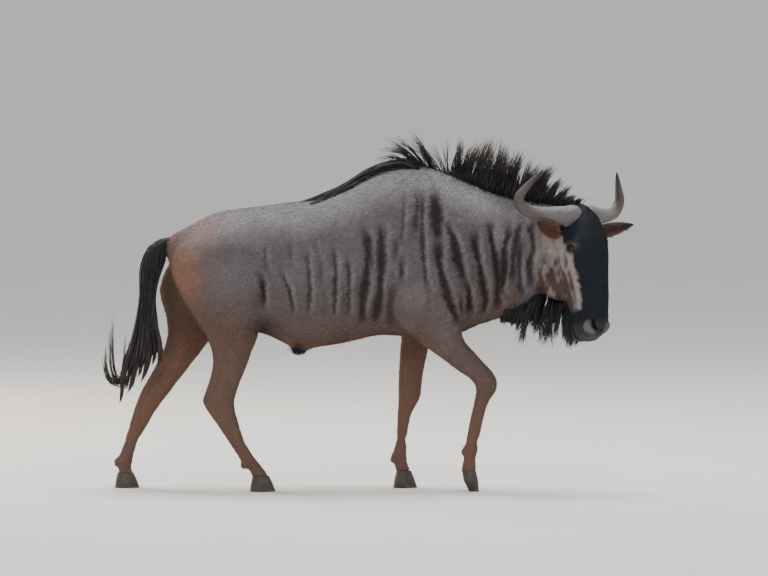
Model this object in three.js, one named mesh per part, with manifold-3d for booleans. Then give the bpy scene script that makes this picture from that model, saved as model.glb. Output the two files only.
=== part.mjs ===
// A blue wildebeest walking with its head turned, as a still life-size model in solid parts.
// Millimetres. +X runs towards the head, +Y to the animal's left, +Z up; the floor is z = 0.
import * as THREE from 'three';
import { mergeVertices } from 'three/addons/utils/BufferGeometryUtils.js';
import Module from 'manifold-3d';

const wasm = await Module();
wasm.setup();

// Driving sizes
const seam = 0.5; // gap left between two parts that meet
const slack = 0.12; // how far a surface may move when its smallest triangles are joined
const middle = { x: -6, y: -33 }; // the point over the floor that becomes the origin
const bodyRing = 26; // corners round the body, head and legs
const headRing = 26;
const legRing = 14;
const bodyStep = 60; // length between two rings
const legStep = 42;
const fleshSlack = 3; // how far the skin may move when its flattest triangles are joined
const maneGap = 21; // from one lock of the mane to the next
const maneEnds = [-255, 846]; // where the mane starts on the back and stops behind the horns
const beardLowest = 618; // height of the lowest hair under the jaw

// Body and neck, one row for each place along it: x, y, turn in degrees towards the right,
// top, underside, half width, height of the widest line as a share, roundness above and below
const trunk = [
  [-848, 0, 0, 1052, 990, 26, 0.5, 2.0, 2.0],
  [-838, 0, 0, 1062, 945, 52, 0.5, 2.0, 2.0],
  [-815, 0, 0, 1077, 872, 86, 0.52, 2.0, 2.0],
  [-785, 0, 0, 1093, 812, 114, 0.55, 2.0, 2.0],
  [-731, 0, 0, 1122, 758, 150, 0.58, 2.0, 2.0],
  [-647, 0, 0, 1163, 706, 178, 0.6, 2.1, 2.1],
  [-542, 0, 0, 1181, 676, 190, 0.58, 2.1, 2.1],
  [-437, 0, 0, 1194, 655, 198, 0.52, 2.0, 2.1],
  [-332, 0, 0, 1208, 610, 216, 0.47, 1.95, 2.1],
  [-281, 0, 0, 1214, 598, 224, 0.45, 1.9, 2.1],
  [-206, 0, 0, 1230, 603, 234, 0.44, 1.85, 2.1],
  [-80, 0, 0, 1276, 624, 240, 0.43, 1.75, 2.1],
  [-17, 0, 0, 1314, 640, 238, 0.43, 1.7, 2.1],
  [46, 0, 0, 1343, 651, 230, 0.43, 1.62, 2.1],
  [130, 0, 0, 1361, 647, 216, 0.42, 1.58, 2.05],
  [193, 0, 0, 1363, 643, 206, 0.42, 1.58, 2.05],
  [256, 0, 0, 1356, 643, 196, 0.42, 1.6, 2.0],
  [319, 0, 0, 1335, 645, 186, 0.42, 1.65, 2.0],
  [382, 0, 0, 1309, 658, 170, 0.43, 1.7, 1.95],
  [445, 0, 1, 1282, 687, 150, 0.45, 1.72, 1.9],
  [508, -1, 3, 1256, 708, 132, 0.47, 1.75, 1.9],
  [571, -3, 5, 1237, 727, 119, 0.48, 1.8, 1.9],
  [634, -8, 9, 1222, 754, 109, 0.5, 1.85, 1.9],
  [700, -19, 15, 1212, 790, 102, 0.5, 1.9, 1.9],
  [760, -37, 25, 1204, 842, 97, 0.5, 1.9, 2.0],
  [812, -64, 36, 1192, 905, 90, 0.5, 2.0, 2.0],
  [850, -95, 44, 1168, 962, 72, 0.5, 2.0, 2.0],
];

// Legs, one row for each height: z, rear edge, front edge, distance from the middle, half thickness
const foreRightRows = [
  [1000, 165, 340, 108, 40],
  [924, 132, 386, 124, 66],
  [840, 118, 391, 127, 77],
  [777, 117, 391, 126, 77],
  [714, 121, 388, 124, 74],
  [672, 150, 388, 126, 66],
  [630, 206, 401, 120, 58],
  [588, 265, 437, 116, 52],
  [546, 323, 475, 113, 46],
  [504, 378, 514, 111, 42],
  [475, 422, 531, 110, 40],
  [449, 443, 535, 109, 38],
  [420, 449, 528, 108, 35],
  [391, 444, 509, 107, 30],
  [357, 437, 493, 106, 26],
  [315, 427, 482, 104, 24],
  [260, 416, 469, 102, 23],
  [210, 405, 459, 100, 24],
  [172, 393, 456, 99, 28],
  [140, 398, 446, 98, 26],
  [112, 392, 447, 98, 30],
  [86, 388, 450, 97, 33],
];
const foreLeftRows = [
  [960, 150, 310, 104, 36],
  [900, 118, 326, 116, 56],
  [798, 118, 320, 124, 72],
  [722, 124, 300, 124, 70],
  [672, 130, 276, 124, 62],
  [630, 136, 259, 118, 52],
  [588, 132, 250, 114, 47],
  [538, 129, 238, 111, 42],
  [483, 126, 227, 109, 39],
  [428, 124, 219, 107, 38],
  [386, 124, 216, 106, 37],
  [349, 123, 198, 105, 32],
  [311, 120, 178, 104, 26],
  [260, 118, 166, 103, 23],
  [210, 115, 160, 102, 22],
  [168, 107, 157, 101, 25],
  [130, 97, 158, 100, 31],
  [98, 107, 163, 100, 27],
  [72, 115, 175, 100, 34],
];
const hindRightRows = [
  [1060, -770, -570, 92, 44],
  [1020, -800, -520, 100, 66],
  [958, -827, -462, 110, 84],
  [882, -814, -426, 115, 96],
  [798, -777, -426, 117, 98],
  [735, -737, -436, 117, 90],
  [672, -695, -458, 116, 76],
  [630, -672, -472, 115, 65],
  [588, -657, -491, 114, 56],
  [538, -653, -508, 112, 48],
  [496, -660, -525, 111, 42],
  [454, -672, -542, 110, 38],
  [412, -687, -556, 109, 36],
  [382, -696, -564, 108, 37],
  [353, -685, -563, 107, 36],
  [323, -666, -557, 106, 33],
  [294, -645, -548, 105, 29],
  [260, -622, -539, 104, 26],
  [223, -597, -525, 103, 25],
  [185, -573, -507, 102, 25],
  [150, -549, -487, 101, 28],
  [115, -528, -459, 100, 32],
  [88, -501, -438, 100, 27],
  [65, -488, -420, 100, 34],
];
const hindLeftRows = [
  [1060, -770, -580, 92, 44],
  [1020, -800, -530, 100, 66],
  [958, -836, -500, 110, 84],
  [900, -868, -500, 114, 94],
  [840, -884, -515, 117, 96],
  [798, -880, -540, 117, 94],
  [756, -866, -572, 117, 88],
  [693, -853, -617, 116, 76],
  [651, -851, -651, 115, 66],
  [609, -859, -685, 114, 58],
  [567, -874, -716, 113, 51],
  [525, -895, -750, 112, 45],
  [483, -918, -781, 111, 40],
  [441, -943, -815, 110, 37],
  [407, -962, -840, 109, 37],
  [378, -974, -863, 108, 36],
  [344, -987, -888, 107, 33],
  [311, -998, -911, 106, 29],
  [273, -1009, -931, 105, 26],
  [231, -1022, -956, 104, 24],
  [189, -1034, -979, 103, 23],
  [147, -1050, -993, 102, 26],
  [110, -1064, -1000, 101, 31],
  [84, -1058, -1006, 100, 27],
  [62, -1062, -996, 100, 33],
];
// Hooves: the foot's rows at the coronet, half way down and at the sole: z, heel, toe, half width
const hooves = {
  foreRight: [[86, 388, 450, 33], [46, 394, 459, 37], [0, 418, 462, 27]],
  foreLeft: [[72, 113, 178, 35], [36, 104, 194, 41], [0, 98, 206, 44]],
  hindRight: [[65, -491, -417, 35], [33, -498, -401, 39], [0, -503, -389, 42]],
  hindLeft: [[62, -1065, -993, 34], [31, -1072, -978, 39], [0, -1077, -967, 42]],
};

// Head: its own place, turn and lean. Rows run from the poll to the lips:
// distance down the face, front of the face, back of the head, half width, widest line, roundness front and back
const head = { place: [899, -130, 1176], turn: 48, lean: 9, roll: 2.5 };
const headRows = [
  [-36, -22, -74, 24, -48, 2.0, 2.0],
  [-27, -4, -92, 42, -46, 2.0, 2.0],
  [-8, 18, -108, 59, -42, 2.0, 2.0],
  [20, 42, -122, 73, -38, 2.1, 2.0],
  [50, 57, -134, 81, -36, 2.2, 2.1],
  [80, 66, -144, 86, -34, 2.4, 2.1],
  [120, 78, -158, 91, -34, 2.5, 2.1],
  [155, 82, -170, 92, -36, 2.5, 2.1],
  [195, 86, -182, 89, -46, 2.5, 2.1],
  [235, 90, -188, 82, -56, 2.4, 2.1],
  [275, 92, -180, 73, -56, 2.4, 2.1],
  [320, 93, -156, 64, -46, 2.3, 2.1],
  [365, 91, -134, 57, -34, 2.3, 2.1],
  [410, 84, -118, 54, -22, 2.3, 2.1],
  [445, 74, -110, 56, -14, 2.3, 2.2],
  [472, 58, -107, 60, -14, 2.4, 2.2],
  [495, 44, -106, 63, -20, 2.5, 2.3],
  [515, 26, -104, 61, -30, 2.5, 2.3],
  [529, 6, -99, 54, -42, 2.4, 2.3],
  [538, -16, -90, 41, -52, 2.2, 2.2],
  [543, -36, -78, 22, -58, 2.0, 2.0],
];
const eye = { down: 155, front: -8, out: 73, radius: 21, way: [-0.08, 0.3, 0.95] };
const nostril = { down: 487, front: 38, out: 39, way: [0.2, 0.62, 0.76] };
// Horn: distance down, front and out of each place on its middle line, and its radius there
const hornRows = [
  [20, -10, 14, 20],
  [20, -13, 22, 38],
  [20, -20, 40, 47],
  [19, -28, 70, 46],
  [14, -38, 105, 38],
  [10, -54, 160, 31.5],
  [4, -68, 205, 28],
  [-8, -81, 248, 25.5],
  [-34, -88, 280, 23.5],
  [-66, -80, 288, 20.5],
  [-100, -60, 268, 16],
  [-132, -36, 243, 11],
  [-156, -16, 222, 6],
  [-170, -6, 212, 1.2],
];
// Ear: place of the root and its direction in the head's frame, length, and half width along it
const ear = {
  root: [96, -70, 74],
  way: [-0.19, 0.34, 0.92],
  opening: [0.42, 0.86, -0.28],
  length: 222,
  widths: [[0, 19], [0.15, 27], [0.35, 34], [0.55, 33], [0.75, 24], [0.9, 12], [1, 2]],
  wall: 5,
  cup: 0.62,
};
// Tail: z, middle x, half width along and across of the dock
const dock = [
  [1062, -826, 16, 16],
  [1056, -842, 28, 26],
  [1038, -872, 38, 32],
  [1008, -898, 46, 34],
  [958, -912, 47, 34],
  [900, -922, 42, 32],
  [840, -930, 38, 30],
  [770, -934, 36, 28],
  [700, -936, 36, 26],
  [620, -942, 34, 22],
  [560, -950, 26, 18],
  [500, -962, 10, 9],
];

// Mane: x, length of the hair and its lean from upright, forwards counting as more
const maneRows = [
  [-250, 100, -95],
  [-190, 130, -96],
  [-100, 150, -98],
  [-38, 155, -100],
  [25, 158, -98],
  [88, 160, -92],
  [151, 168, -80],
  [214, 188, -56],
  [265, 200, -27],
  [302, 205, -16],
  [328, 180, -9],
  [346, 165, 9],
  [365, 182, 16],
  [403, 195, 15],
  [466, 238, 10],
  [529, 222, 7],
  [592, 208, 10],
  [655, 188, 19],
  [718, 160, 27],
  [781, 116, 38],
  [832, 72, 50],
];

// One seeded draw after another, so that every build gives the same hair
let seed = 20261;
function draw(low, high) {
  seed = (seed * 1664525 + 1013904223) % 4294967296;
  return low + ((high - low) * seed) / 4294967296;
}

// Smooth values between the rows of a table whose first column only rises or only falls
function rowAt(rows, key) {
  const falling = rows[0][0] > rows[rows.length - 1][0];
  let i = 0;
  while (i < rows.length - 2 && (falling ? key < rows[i + 1][0] : key > rows[i + 1][0])) i += 1;
  const a = rows[i];
  const b = rows[i + 1];
  const before = rows[i - 1] ?? a;
  const after = rows[i + 2] ?? b;
  const span = b[0] - a[0];
  const t = (key - a[0]) / span;
  const t2 = t * t;
  const t3 = t2 * t;
  const slope = (from, to, k) => ((to[k] - from[k]) / (to[0] - from[0])) * span;
  return a.map((value, k) => (k === 0 ? key : (2 * t3 - 3 * t2 + 1) * value
    + (t3 - 2 * t2 + t) * slope(before, b, k)
    + (3 * t2 - 2 * t3) * b[k]
    + (t3 - t2) * slope(a, after, k)));
}

// Keys from the first row to the last, with every row's own key and others between them
function keysOf(rows, step) {
  const keys = [rows[0][0]];
  for (let i = 1; i < rows.length; i += 1) {
    const span = rows[i][0] - rows[i - 1][0];
    const parts = Math.max(1, Math.round(Math.abs(span) / step));
    for (let k = 1; k <= parts; k += 1) keys.push(rows[i - 1][0] + (span * k) / parts);
  }
  return keys;
}

// A closed skin over rings of corners, with a flat fan over each end
function skinOver(rings) {
  const n = rings[0].length;
  const points = rings.flat();
  const index = [];
  for (let i = 0; i + 1 < rings.length; i += 1) {
    for (let j = 0; j < n; j += 1) {
      const a = i * n + j;
      const b = i * n + ((j + 1) % n);
      index.push(a, b, b + n, a, b + n, a + n);
    }
  }
  for (const end of [0, rings.length - 1]) {
    const centre = rings[end].reduce((sum, p) => sum.add(p), new THREE.Vector3()).divideScalar(n);
    points.push(centre);
    for (let j = 0; j < n; j += 1) {
      const a = end * n + j;
      const b = end * n + ((j + 1) % n);
      index.push(...(end === 0 ? [points.length - 1, b, a] : [points.length - 1, a, b]));
    }
  }
  const geometry = new THREE.BufferGeometry().setFromPoints(points).setIndex(index);
  return facingOut(geometry);
}

function facingOut(geometry) {
  const p = geometry.attributes.position;
  const index = geometry.index.array;
  const [a, b, c] = [new THREE.Vector3(), new THREE.Vector3(), new THREE.Vector3()];
  let volume = 0;
  for (let i = 0; i < index.length; i += 3) {
    a.fromBufferAttribute(p, index[i]);
    b.fromBufferAttribute(p, index[i + 1]);
    c.fromBufferAttribute(p, index[i + 2]);
    volume += a.dot(b.cross(c));
  }
  if (volume < 0) index.reverse();
  return geometry;
}

// One ring of corners: a rounded section with its own rise, drop and roundness
function ringOf({ centre, side, up, half, rise, drop, above = 2, below = 2, count }) {
  const ring = [];
  for (let j = 0; j < count; j += 1) {
    const angle = (2 * Math.PI * j) / count;
    const c = Math.cos(angle);
    const s = Math.sin(angle);
    const power = 2 / (s >= 0 ? above : below);
    const across = half * Math.sign(c) * Math.abs(c) ** power;
    const along = (s >= 0 ? rise : drop) * Math.sign(s) * Math.abs(s) ** power;
    ring.push(centre.clone().addScaledVector(side, across).addScaledVector(up, along));
  }
  return ring;
}

// A manifold-3d solid from a three.js geometry, and back
function solid(geometry) {
  const plain = geometry.clone();
  plain.deleteAttribute('normal');
  plain.deleteAttribute('uv');
  const merged = mergeVertices(plain, 1e-4);
  return new wasm.Manifold(new wasm.Mesh({
    numProp: 3,
    vertProperties: new Float32Array(merged.attributes.position.array),
    triVerts: new Uint32Array(merged.index.array),
  }));
}
function geometryOf(body) {
  const mesh = body.getMesh();
  const positions = new Float32Array(mesh.numVert * 3);
  for (let i = 0; i < mesh.numVert; i += 1) {
    positions.set(mesh.vertProperties.subarray(i * mesh.numProp, i * mesh.numProp + 3), i * 3);
  }
  return new THREE.BufferGeometry()
    .setAttribute('position', new THREE.BufferAttribute(positions, 3))
    .setIndex(new THREE.BufferAttribute(new Uint32Array(mesh.triVerts), 1));
}
function joined(bodies) {
  return bodies.reduce((sum, body) => sum.add(body));
}
function largest(body) {
  return body.decompose().sort((a, b) => b.volume() - a.volume())[0];
}

// A large block whose near face passes through a point, on the side that the normal points to
function halfSpace(point, normal, shift = 0) {
  const size = 4000;
  const direction = new THREE.Vector3(...normal).normalize();
  const block = new THREE.BoxGeometry(size, size, size).translate(size / 2 + shift, 0, 0);
  const turn = new THREE.Quaternion().setFromUnitVectors(new THREE.Vector3(1, 0, 0), direction);
  return solid(block.applyQuaternion(turn).translate(...point));
}

const radians = (degrees) => (degrees * Math.PI) / 180;
const upwards = new THREE.Vector3(0, 0, 1);

// The head's frame: down the face, out of the face and to the animal's right
const heading = new THREE.Vector3(Math.cos(radians(head.turn)), -Math.sin(radians(head.turn)), 0);
const lean = radians(head.lean);
const faceDown = heading.clone().multiplyScalar(Math.sin(lean)).addScaledVector(upwards, -Math.cos(lean));
const faceOut = heading.clone().multiplyScalar(Math.cos(lean)).addScaledVector(upwards, Math.sin(lean));
const faceRight = new THREE.Vector3().crossVectors(heading, upwards);
for (const axis of [faceDown, faceRight]) axis.applyAxisAngle(faceOut, -radians(head.roll));
function inHead(down, out, right) {
  return new THREE.Vector3(...head.place).addScaledVector(faceDown, down)
    .addScaledVector(faceOut, out).addScaledVector(faceRight, right);
}
function headDirection(down, out, right) {
  return inHead(down, out, right).sub(new THREE.Vector3(...head.place)).normalize();
}

// Soft swellings and hollows: a place, how far it reaches, and the push at its middle
function swell(geometry, places) {
  const p = geometry.attributes.position;
  const v = new THREE.Vector3();
  for (let i = 0; i < p.count; i += 1) {
    v.fromBufferAttribute(p, i);
    const push = new THREE.Vector3();
    for (const { at, reach, by } of places) {
      const away = v.distanceTo(at) / reach;
      push.addScaledVector(by, Math.exp(-away * away * 2));
    }
    p.setXYZ(i, v.x + push.x, v.y + push.y, v.z + push.z);
  }
  return geometry;
}
// Muscles of the body, on both sides: x, distance from the middle, z, reach, push outwards
const muscles = [
  [205, 190, 1080, 170, 16],
  [120, 200, 1180, 110, 10],
  [330, 175, 850, 120, 16],
  [60, 225, 940, 110, -14],
  [-380, 190, 830, 120, -16],
  [-430, 170, 1130, 90, 12],
  [-600, 170, 1040, 130, 10],
  [-740, 130, 1010, 90, 8],
  [450, 130, 1000, 120, 8],
  [560, 110, 870, 110, -8],
  [-150, 235, 780, 200, 8],
];

function bodyAndNeck() {
  const rings = keysOf(trunk, bodyStep).map((x) => {
    const [, y, turn, top, bottom, half, wide, above, below] = rowAt(trunk, x);
    const level = bottom + (top - bottom) * wide;
    const angle = radians(turn);
    return ringOf({
      centre: new THREE.Vector3(x, y, level),
      side: new THREE.Vector3(Math.sin(angle), Math.cos(angle), 0),
      up: upwards,
      half,
      rise: top - level,
      drop: level - bottom,
      above,
      below,
      count: bodyRing,
    });
  });
  const places = muscles.flatMap(([x, y, z, reach, push]) => [-1, 1].map((sign) => ({
    at: new THREE.Vector3(x, y * sign, z),
    reach,
    by: new THREE.Vector3(0, push * sign, 0),
  })));
  // The sheath stands out under the belly
  places.push({ at: new THREE.Vector3(-290, 0, 600), reach: 60, by: new THREE.Vector3(0, 0, -16) });
  return solid(swell(skinOver(rings), places));
}

// A leg over level rings, with two dewclaws behind the fetlock
function leg(rows, sign, dewclaws) {
  const rings = keysOf(rows, legStep).map((z) => {
    const [, rear, front, out, half] = rowAt(rows, z);
    return ringOf({
      centre: new THREE.Vector3((rear + front) / 2, out * sign, z),
      side: new THREE.Vector3(0, 1, 0),
      up: new THREE.Vector3(1, 0, 0),
      half,
      rise: (front - rear) / 2,
      drop: (front - rear) / 2,
      above: 2.2,
      below: 2,
      count: legRing,
    });
  });
  const claws = [-1, 1].map((way) => {
    const claw = new THREE.SphereGeometry(13, 8, 6).scale(0.9, 0.8, 1.5);
    const middleOut = rowAt(rows, dewclaws[1])[3];
    return solid(claw.translate(dewclaws[0], middleOut * sign + way * 15, dewclaws[1]));
  });
  return joined([solid(skinOver(rings)), ...claws]);
}

// Two claws that close together at the heel and part towards the toe
function hoof(rows, middleOut) {
  const halves = [-1, 1].map((way) => {
    const levels = [rows[0][0] - seam, rows[1][0], 5, rows[2][0]];
    const rings = levels.map((z) => {
      const [, heel, toe, half] = rowAt(rows, z);
      const toeIn = z === rows[2][0] ? 4 : 0;
      const width = half * 0.56;
      return ringOf({
        centre: new THREE.Vector3((heel + toe) / 2, middleOut + way * half * 0.46, z),
        side: new THREE.Vector3(0, 1, 0),
        up: new THREE.Vector3(1, -way * 0.08, 0),
        half: width - toeIn / 2,
        rise: (toe - heel) / 2 - toeIn,
        drop: (toe - heel) / 2 - toeIn,
        above: 1.8,
        below: 2.4,
        count: 12,
      });
    });
    return solid(skinOver(rings));
  });
  return joined(halves);
}

// The head's rings, then the lids, nostrils, lips and the line of the mouth
function headSolid() {
  const rings = keysOf(headRows, 26).map((down) => {
    const [, front, back, half, wide, ahead, behind] = rowAt(headRows, down);
    return ringOf({
      centre: inHead(down, wide, 0),
      side: faceRight,
      up: faceOut,
      half,
      rise: front - wide,
      drop: wide - back,
      above: ahead,
      below: behind,
      count: headRing,
    });
  });
  const both = (down, outward, right, reach, push) => [-1, 1].map((sign) => ({
    at: inHead(down, outward, right * sign),
    reach,
    by: headDirection(push[0], push[1], push[2] * sign).multiplyScalar(push[3]),
  }));
  const shapes = [
    ...both(132, 22, 84, 34, [0, 0.4, 1, 12]), // brow
    ...both(182, 6, 80, 26, [0, 0, 1, -7]), // hollow under the eye
    ...both(215, -95, 78, 70, [0, 0, 1, 9]), // cheek muscle
    ...both(300, 30, 60, 60, [0, 0, 1, -6]), // side of the nose
    ...both(488, 20, 55, 30, [0, 0.3, 1, 8]), // nostril wing
    ...both(470, -70, 52, 32, [0, 0, 1, 5]), // lip
  ];
  let body = solid(swell(skinOver(rings), shapes)).simplify(fleshSlack / 2);
  for (const sign of [-1, 1]) body = body.add(lids(sign)).add(nostrilRim(sign));
  for (const sign of [-1, 1]) body = body.subtract(nostrilHole(sign));
  body = body.subtract(mouthLine()).simplify(0.5);
  for (const sign of [-1, 1]) body = body.subtract(eyeBall(sign, seam + 0.2));
  return body;
}

// A frame on the side of the head: z points out of the head, x towards the front of the face
function facing({ down, front, out: aside, way }, sign, shift = 0) {
  const outward = headDirection(way[0], way[1], way[2] * sign);
  const along = faceOut.clone().addScaledVector(outward, -faceOut.dot(outward)).normalize();
  const across = new THREE.Vector3().crossVectors(outward, along);
  const centre = inHead(down, front, aside * sign).addScaledVector(outward, shift);
  return new THREE.Matrix4().makeBasis(along, across, outward).setPosition(centre);
}
function eyeBall(sign, more = 0) {
  const ball = new THREE.SphereGeometry(eye.radius + more, 12, 8).rotateX(Math.PI / 2);
  return solid(ball.applyMatrix4(facing(eye, sign)));
}
function lids(sign) {
  const rim = new THREE.TorusGeometry(19, 7.5, 5, 12).scale(1.2, 0.88, 1.1);
  return solid(rim.applyMatrix4(facing(eye, sign, 14)));
}
// The opening of the nose is a long hole with a raised wing behind it
function nostrilRim(sign) {
  const rim = new THREE.TorusGeometry(24, 9, 5, 12).scale(0.82, 1.2, 0.9);
  return solid(rim.applyMatrix4(facing(nostril, sign, 5)));
}
function nostrilHole(sign) {
  const hole = new THREE.SphereGeometry(16, 10, 6).scale(0.78, 1.4, 1.5).translate(4, 0, 4);
  return solid(hole.applyMatrix4(facing(nostril, sign)));
}
// A thin curved slit from the corner of the mouth to the front of the lips
function mouthLine() {
  const path = new THREE.QuadraticBezierCurve3(
    inHead(440, -84, 0), inHead(495, -66, 0), inHead(565, -52, 0),
  );
  const rings = path.getPoints(5).map((point) => ringOf({
    centre: point,
    side: faceRight,
    up: faceOut,
    half: 90,
    rise: 1.6,
    drop: 1.6,
    above: 8,
    below: 8,
    count: 8,
  }));
  return solid(skinOver(rings));
}

function horn(sign) {
  const path = new THREE.CatmullRomCurve3(hornRows.map(([down, outward, right]) => (
    inHead(down, outward, right * sign))), false, 'centripetal');
  const count = 17;
  const rings = [];
  for (let i = 0; i <= count; i += 1) {
    const t = i / count;
    const tangent = path.getTangent(t);
    const side = new THREE.Vector3().crossVectors(tangent, faceOut).normalize();
    const up = new THREE.Vector3().crossVectors(side, tangent).normalize();
    const place = t * (hornRows.length - 1);
    const [row, share] = [Math.min(Math.floor(place), hornRows.length - 2), place];
    const radius = THREE.MathUtils.lerp(hornRows[row][3], hornRows[row + 1][3], share - row);
    rings.push(ringOf({
      centre: path.getPoint(t), side, up, half: radius, rise: radius, drop: radius, count: 11,
    }));
  }
  return solid(skinOver(rings));
}

// A leaf-shaped cup, rolled round its long axis, with the same wall all along
function earSolid(sign) {
  const root = inHead(ear.root[0], ear.root[1], ear.root[2] * sign);
  const way = headDirection(ear.way[0], ear.way[1], ear.way[2] * sign);
  const opening = headDirection(ear.opening[0], ear.opening[1], ear.opening[2] * sign);
  const open = opening.addScaledVector(way, -opening.dot(way)).normalize();
  const across = new THREE.Vector3().crossVectors(way, open).normalize();
  const rings = [];
  for (const [t, width] of ear.widths) {
    const centre = root.clone().addScaledVector(way, ear.length * t);
    const ring = [];
    const cup = width * ear.cup;
    const wall = Math.max(0.8, ear.wall * (1 - 0.6 * t));
    const steps = 6;
    for (let j = 0; j <= steps; j += 1) {
      const angle = Math.PI * (j / steps);
      ring.push(centre.clone().addScaledVector(across, Math.cos(angle) * width)
        .addScaledVector(open, -Math.sin(angle) * cup));
    }
    const [innerWidth, innerCup] = [Math.max(0.4, width - wall * 0.8), Math.max(0.2, cup - wall)];
    for (let j = steps - 1; j >= 1; j -= 1) {
      const angle = Math.PI * (j / steps);
      ring.push(centre.clone().addScaledVector(across, Math.cos(angle) * innerWidth)
        .addScaledVector(open, -Math.sin(angle) * innerCup));
    }
    rings.push(ring);
  }
  return solid(skinOver(rings));
}

// A flat lock that narrows to its tip and bends along its length
function lock({ root, way, length, width, thick, bend, flat, sink = 16, turns = 3 }) {
  const direction = way.clone().normalize();
  const start = root.clone().addScaledVector(direction, -sink);
  const rings = [];
  const total = length + sink;
  const place = (t) => start.clone().addScaledVector(direction, total * t)
    .addScaledVector(bend, length * t * t);
  for (let i = 0; i < turns; i += 1) {
    const t = (i / turns) * 0.94;
    const tangent = place(t + 0.02).sub(place(t - 0.02)).normalize();
    const side = flat.clone().addScaledVector(tangent, -flat.dot(tangent)).normalize();
    const up = new THREE.Vector3().crossVectors(side, tangent).normalize();
    const taper = (1 - t) ** 0.65;
    rings.push(ringOf({
      centre: place(t),
      side,
      up,
      half: (width / 2) * taper,
      rise: (thick / 2) * taper,
      drop: (thick / 2) * taper,
      count: 4,
    }));
  }
  const tip = place(1);
  const n = 4;
  const points = [...rings.flat(), tip];
  const index = [];
  for (let i = 0; i + 1 < turns; i += 1) {
    for (let j = 0; j < n; j += 1) {
      const a = i * n + j;
      const b = i * n + ((j + 1) % n);
      index.push(a, b, b + n, a, b + n, a + n);
    }
  }
  const last = (turns - 1) * n;
  for (let j = 0; j < n; j += 1) index.push(last + j, last + ((j + 1) % n), points.length - 1);
  index.push(0, 2, 1, 0, 3, 2);
  return solid(facingOut(new THREE.BufferGeometry().setFromPoints(points).setIndex(index)));
}

// The mane stands on the middle line of the neck and back, in two staggered rows
function maneLocks(from, to) {
  const locks = [];
  let side = 1;
  for (let x = from; x < to; x += maneGap) {
    side = -side;
    const at = x + draw(-4, 4);
    const [, length, leaning] = rowAt(maneRows, at);
    const [, y, turn, top] = rowAt(trunk, at);
    const angle = radians(leaning + draw(-5, 5));
    const flatness = Math.min(1, Math.max(0, (-leaning - 30) / 60));
    const aside = side * draw(0.02, 0.14) - flatness * draw(0.05, 0.22);
    const forward = new THREE.Vector3(Math.cos(radians(turn)), -Math.sin(radians(turn)), 0);
    const way = forward.clone().multiplyScalar(Math.sin(angle))
      .addScaledVector(upwards, Math.cos(angle));
    way.y += aside;
    const sweep = leaning < -12 ? draw(-0.3, -0.14) : draw(0.02, 0.3);
    const bend = forward.clone().multiplyScalar(sweep);
    bend.z -= leaning < -70 ? 0.16 : 0.06;
    bend.y += draw(-0.08, 0.08);
    locks.push(lock({
      root: new THREE.Vector3(at, y + side * 9, top - 7),
      way,
      length: length * draw(0.72, 1.08),
      width: draw(44, 60),
      thick: 14,
      bend,
      flat: forward,
      sink: 14,
    }));
  }
  return locks;
}

// The beard hangs from the throat, short at the chest end and long under the jaw
function throatLocks() {
  const locks = [];
  const rows = [[-56, 10, 0.85], [-20, 1, 1], [20, 1, 1], [56, 10, 0.85]];
  rows.forEach(([aside, rise, share], k) => {
    for (let x = 590 + (k % 2) * 17; x < 762; x += 35) {
      const at = x + draw(-5, 5);
      const [, y, turn, , bottom] = rowAt(trunk, at);
      const ahead = (at - 590) / 170;
      locks.push(lock({
        root: new THREE.Vector3(at, y + aside, bottom + rise + Math.abs(aside) * 0.28),
        way: new THREE.Vector3(-0.12 + 0.1 * ahead, aside * 0.003, -1),
        length: (52 + 160 * ahead) * share * draw(0.85, 1.1),
        width: draw(36, 46),
        thick: 15,
        bend: new THREE.Vector3(0.06, 0, -0.03),
        flat: new THREE.Vector3(1, 0.3 * Math.sign(aside) - turn / 60, 0),
        sink: 50,
      }));
    }
  });
  return locks;
}
// Locks along the back of the jaw hang straight down behind the lips
function jawLocks() {
  const locks = [];
  [250, 286, 322, 358, 394, 430, 466].forEach((down, k) => {
    for (const aside of k % 2 ? [-18, 18] : [-34, 0, 34]) {
      const at = down + draw(-6, 6);
      const [, , back, half] = rowAt(headRows, at);
      const root = inHead(at, back + 12 + Math.abs(aside) * 0.24, (aside * half) / 62);
      const way = new THREE.Vector3(-0.2 + k * 0.035, 0.05, -1);
      locks.push(lock({
        root,
        way,
        length: (root.z - beardLowest + k * 4) * draw(0.84, 1.06),
        width: draw(44, 56),
        thick: 17,
        bend: new THREE.Vector3(0.09, 0, -0.02),
        flat: new THREE.Vector3(1, 0.25, 0),
        sink: 44,
      }));
    }
  });
  return locks;
}
// The forelock starts between the horns and falls over the forehead
function foreLocks() {
  const locks = [];
  [-30, -15, 0, 15, 30].forEach((aside, k) => {
    locks.push(lock({
      root: inHead(2 + (k % 2) * 22, 26 + (k % 2) * 14 - Math.abs(aside) * 0.2, aside),
      way: headDirection(0.55, 0.8, aside * 0.006),
      length: 64 * draw(0.8, 1.15),
      width: 34,
      thick: 13,
      bend: headDirection(1, -0.55, 0).multiplyScalar(0.3),
      flat: headDirection(0, 0, 1),
      sink: 26,
    }));
  });
  return locks;
}

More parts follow.
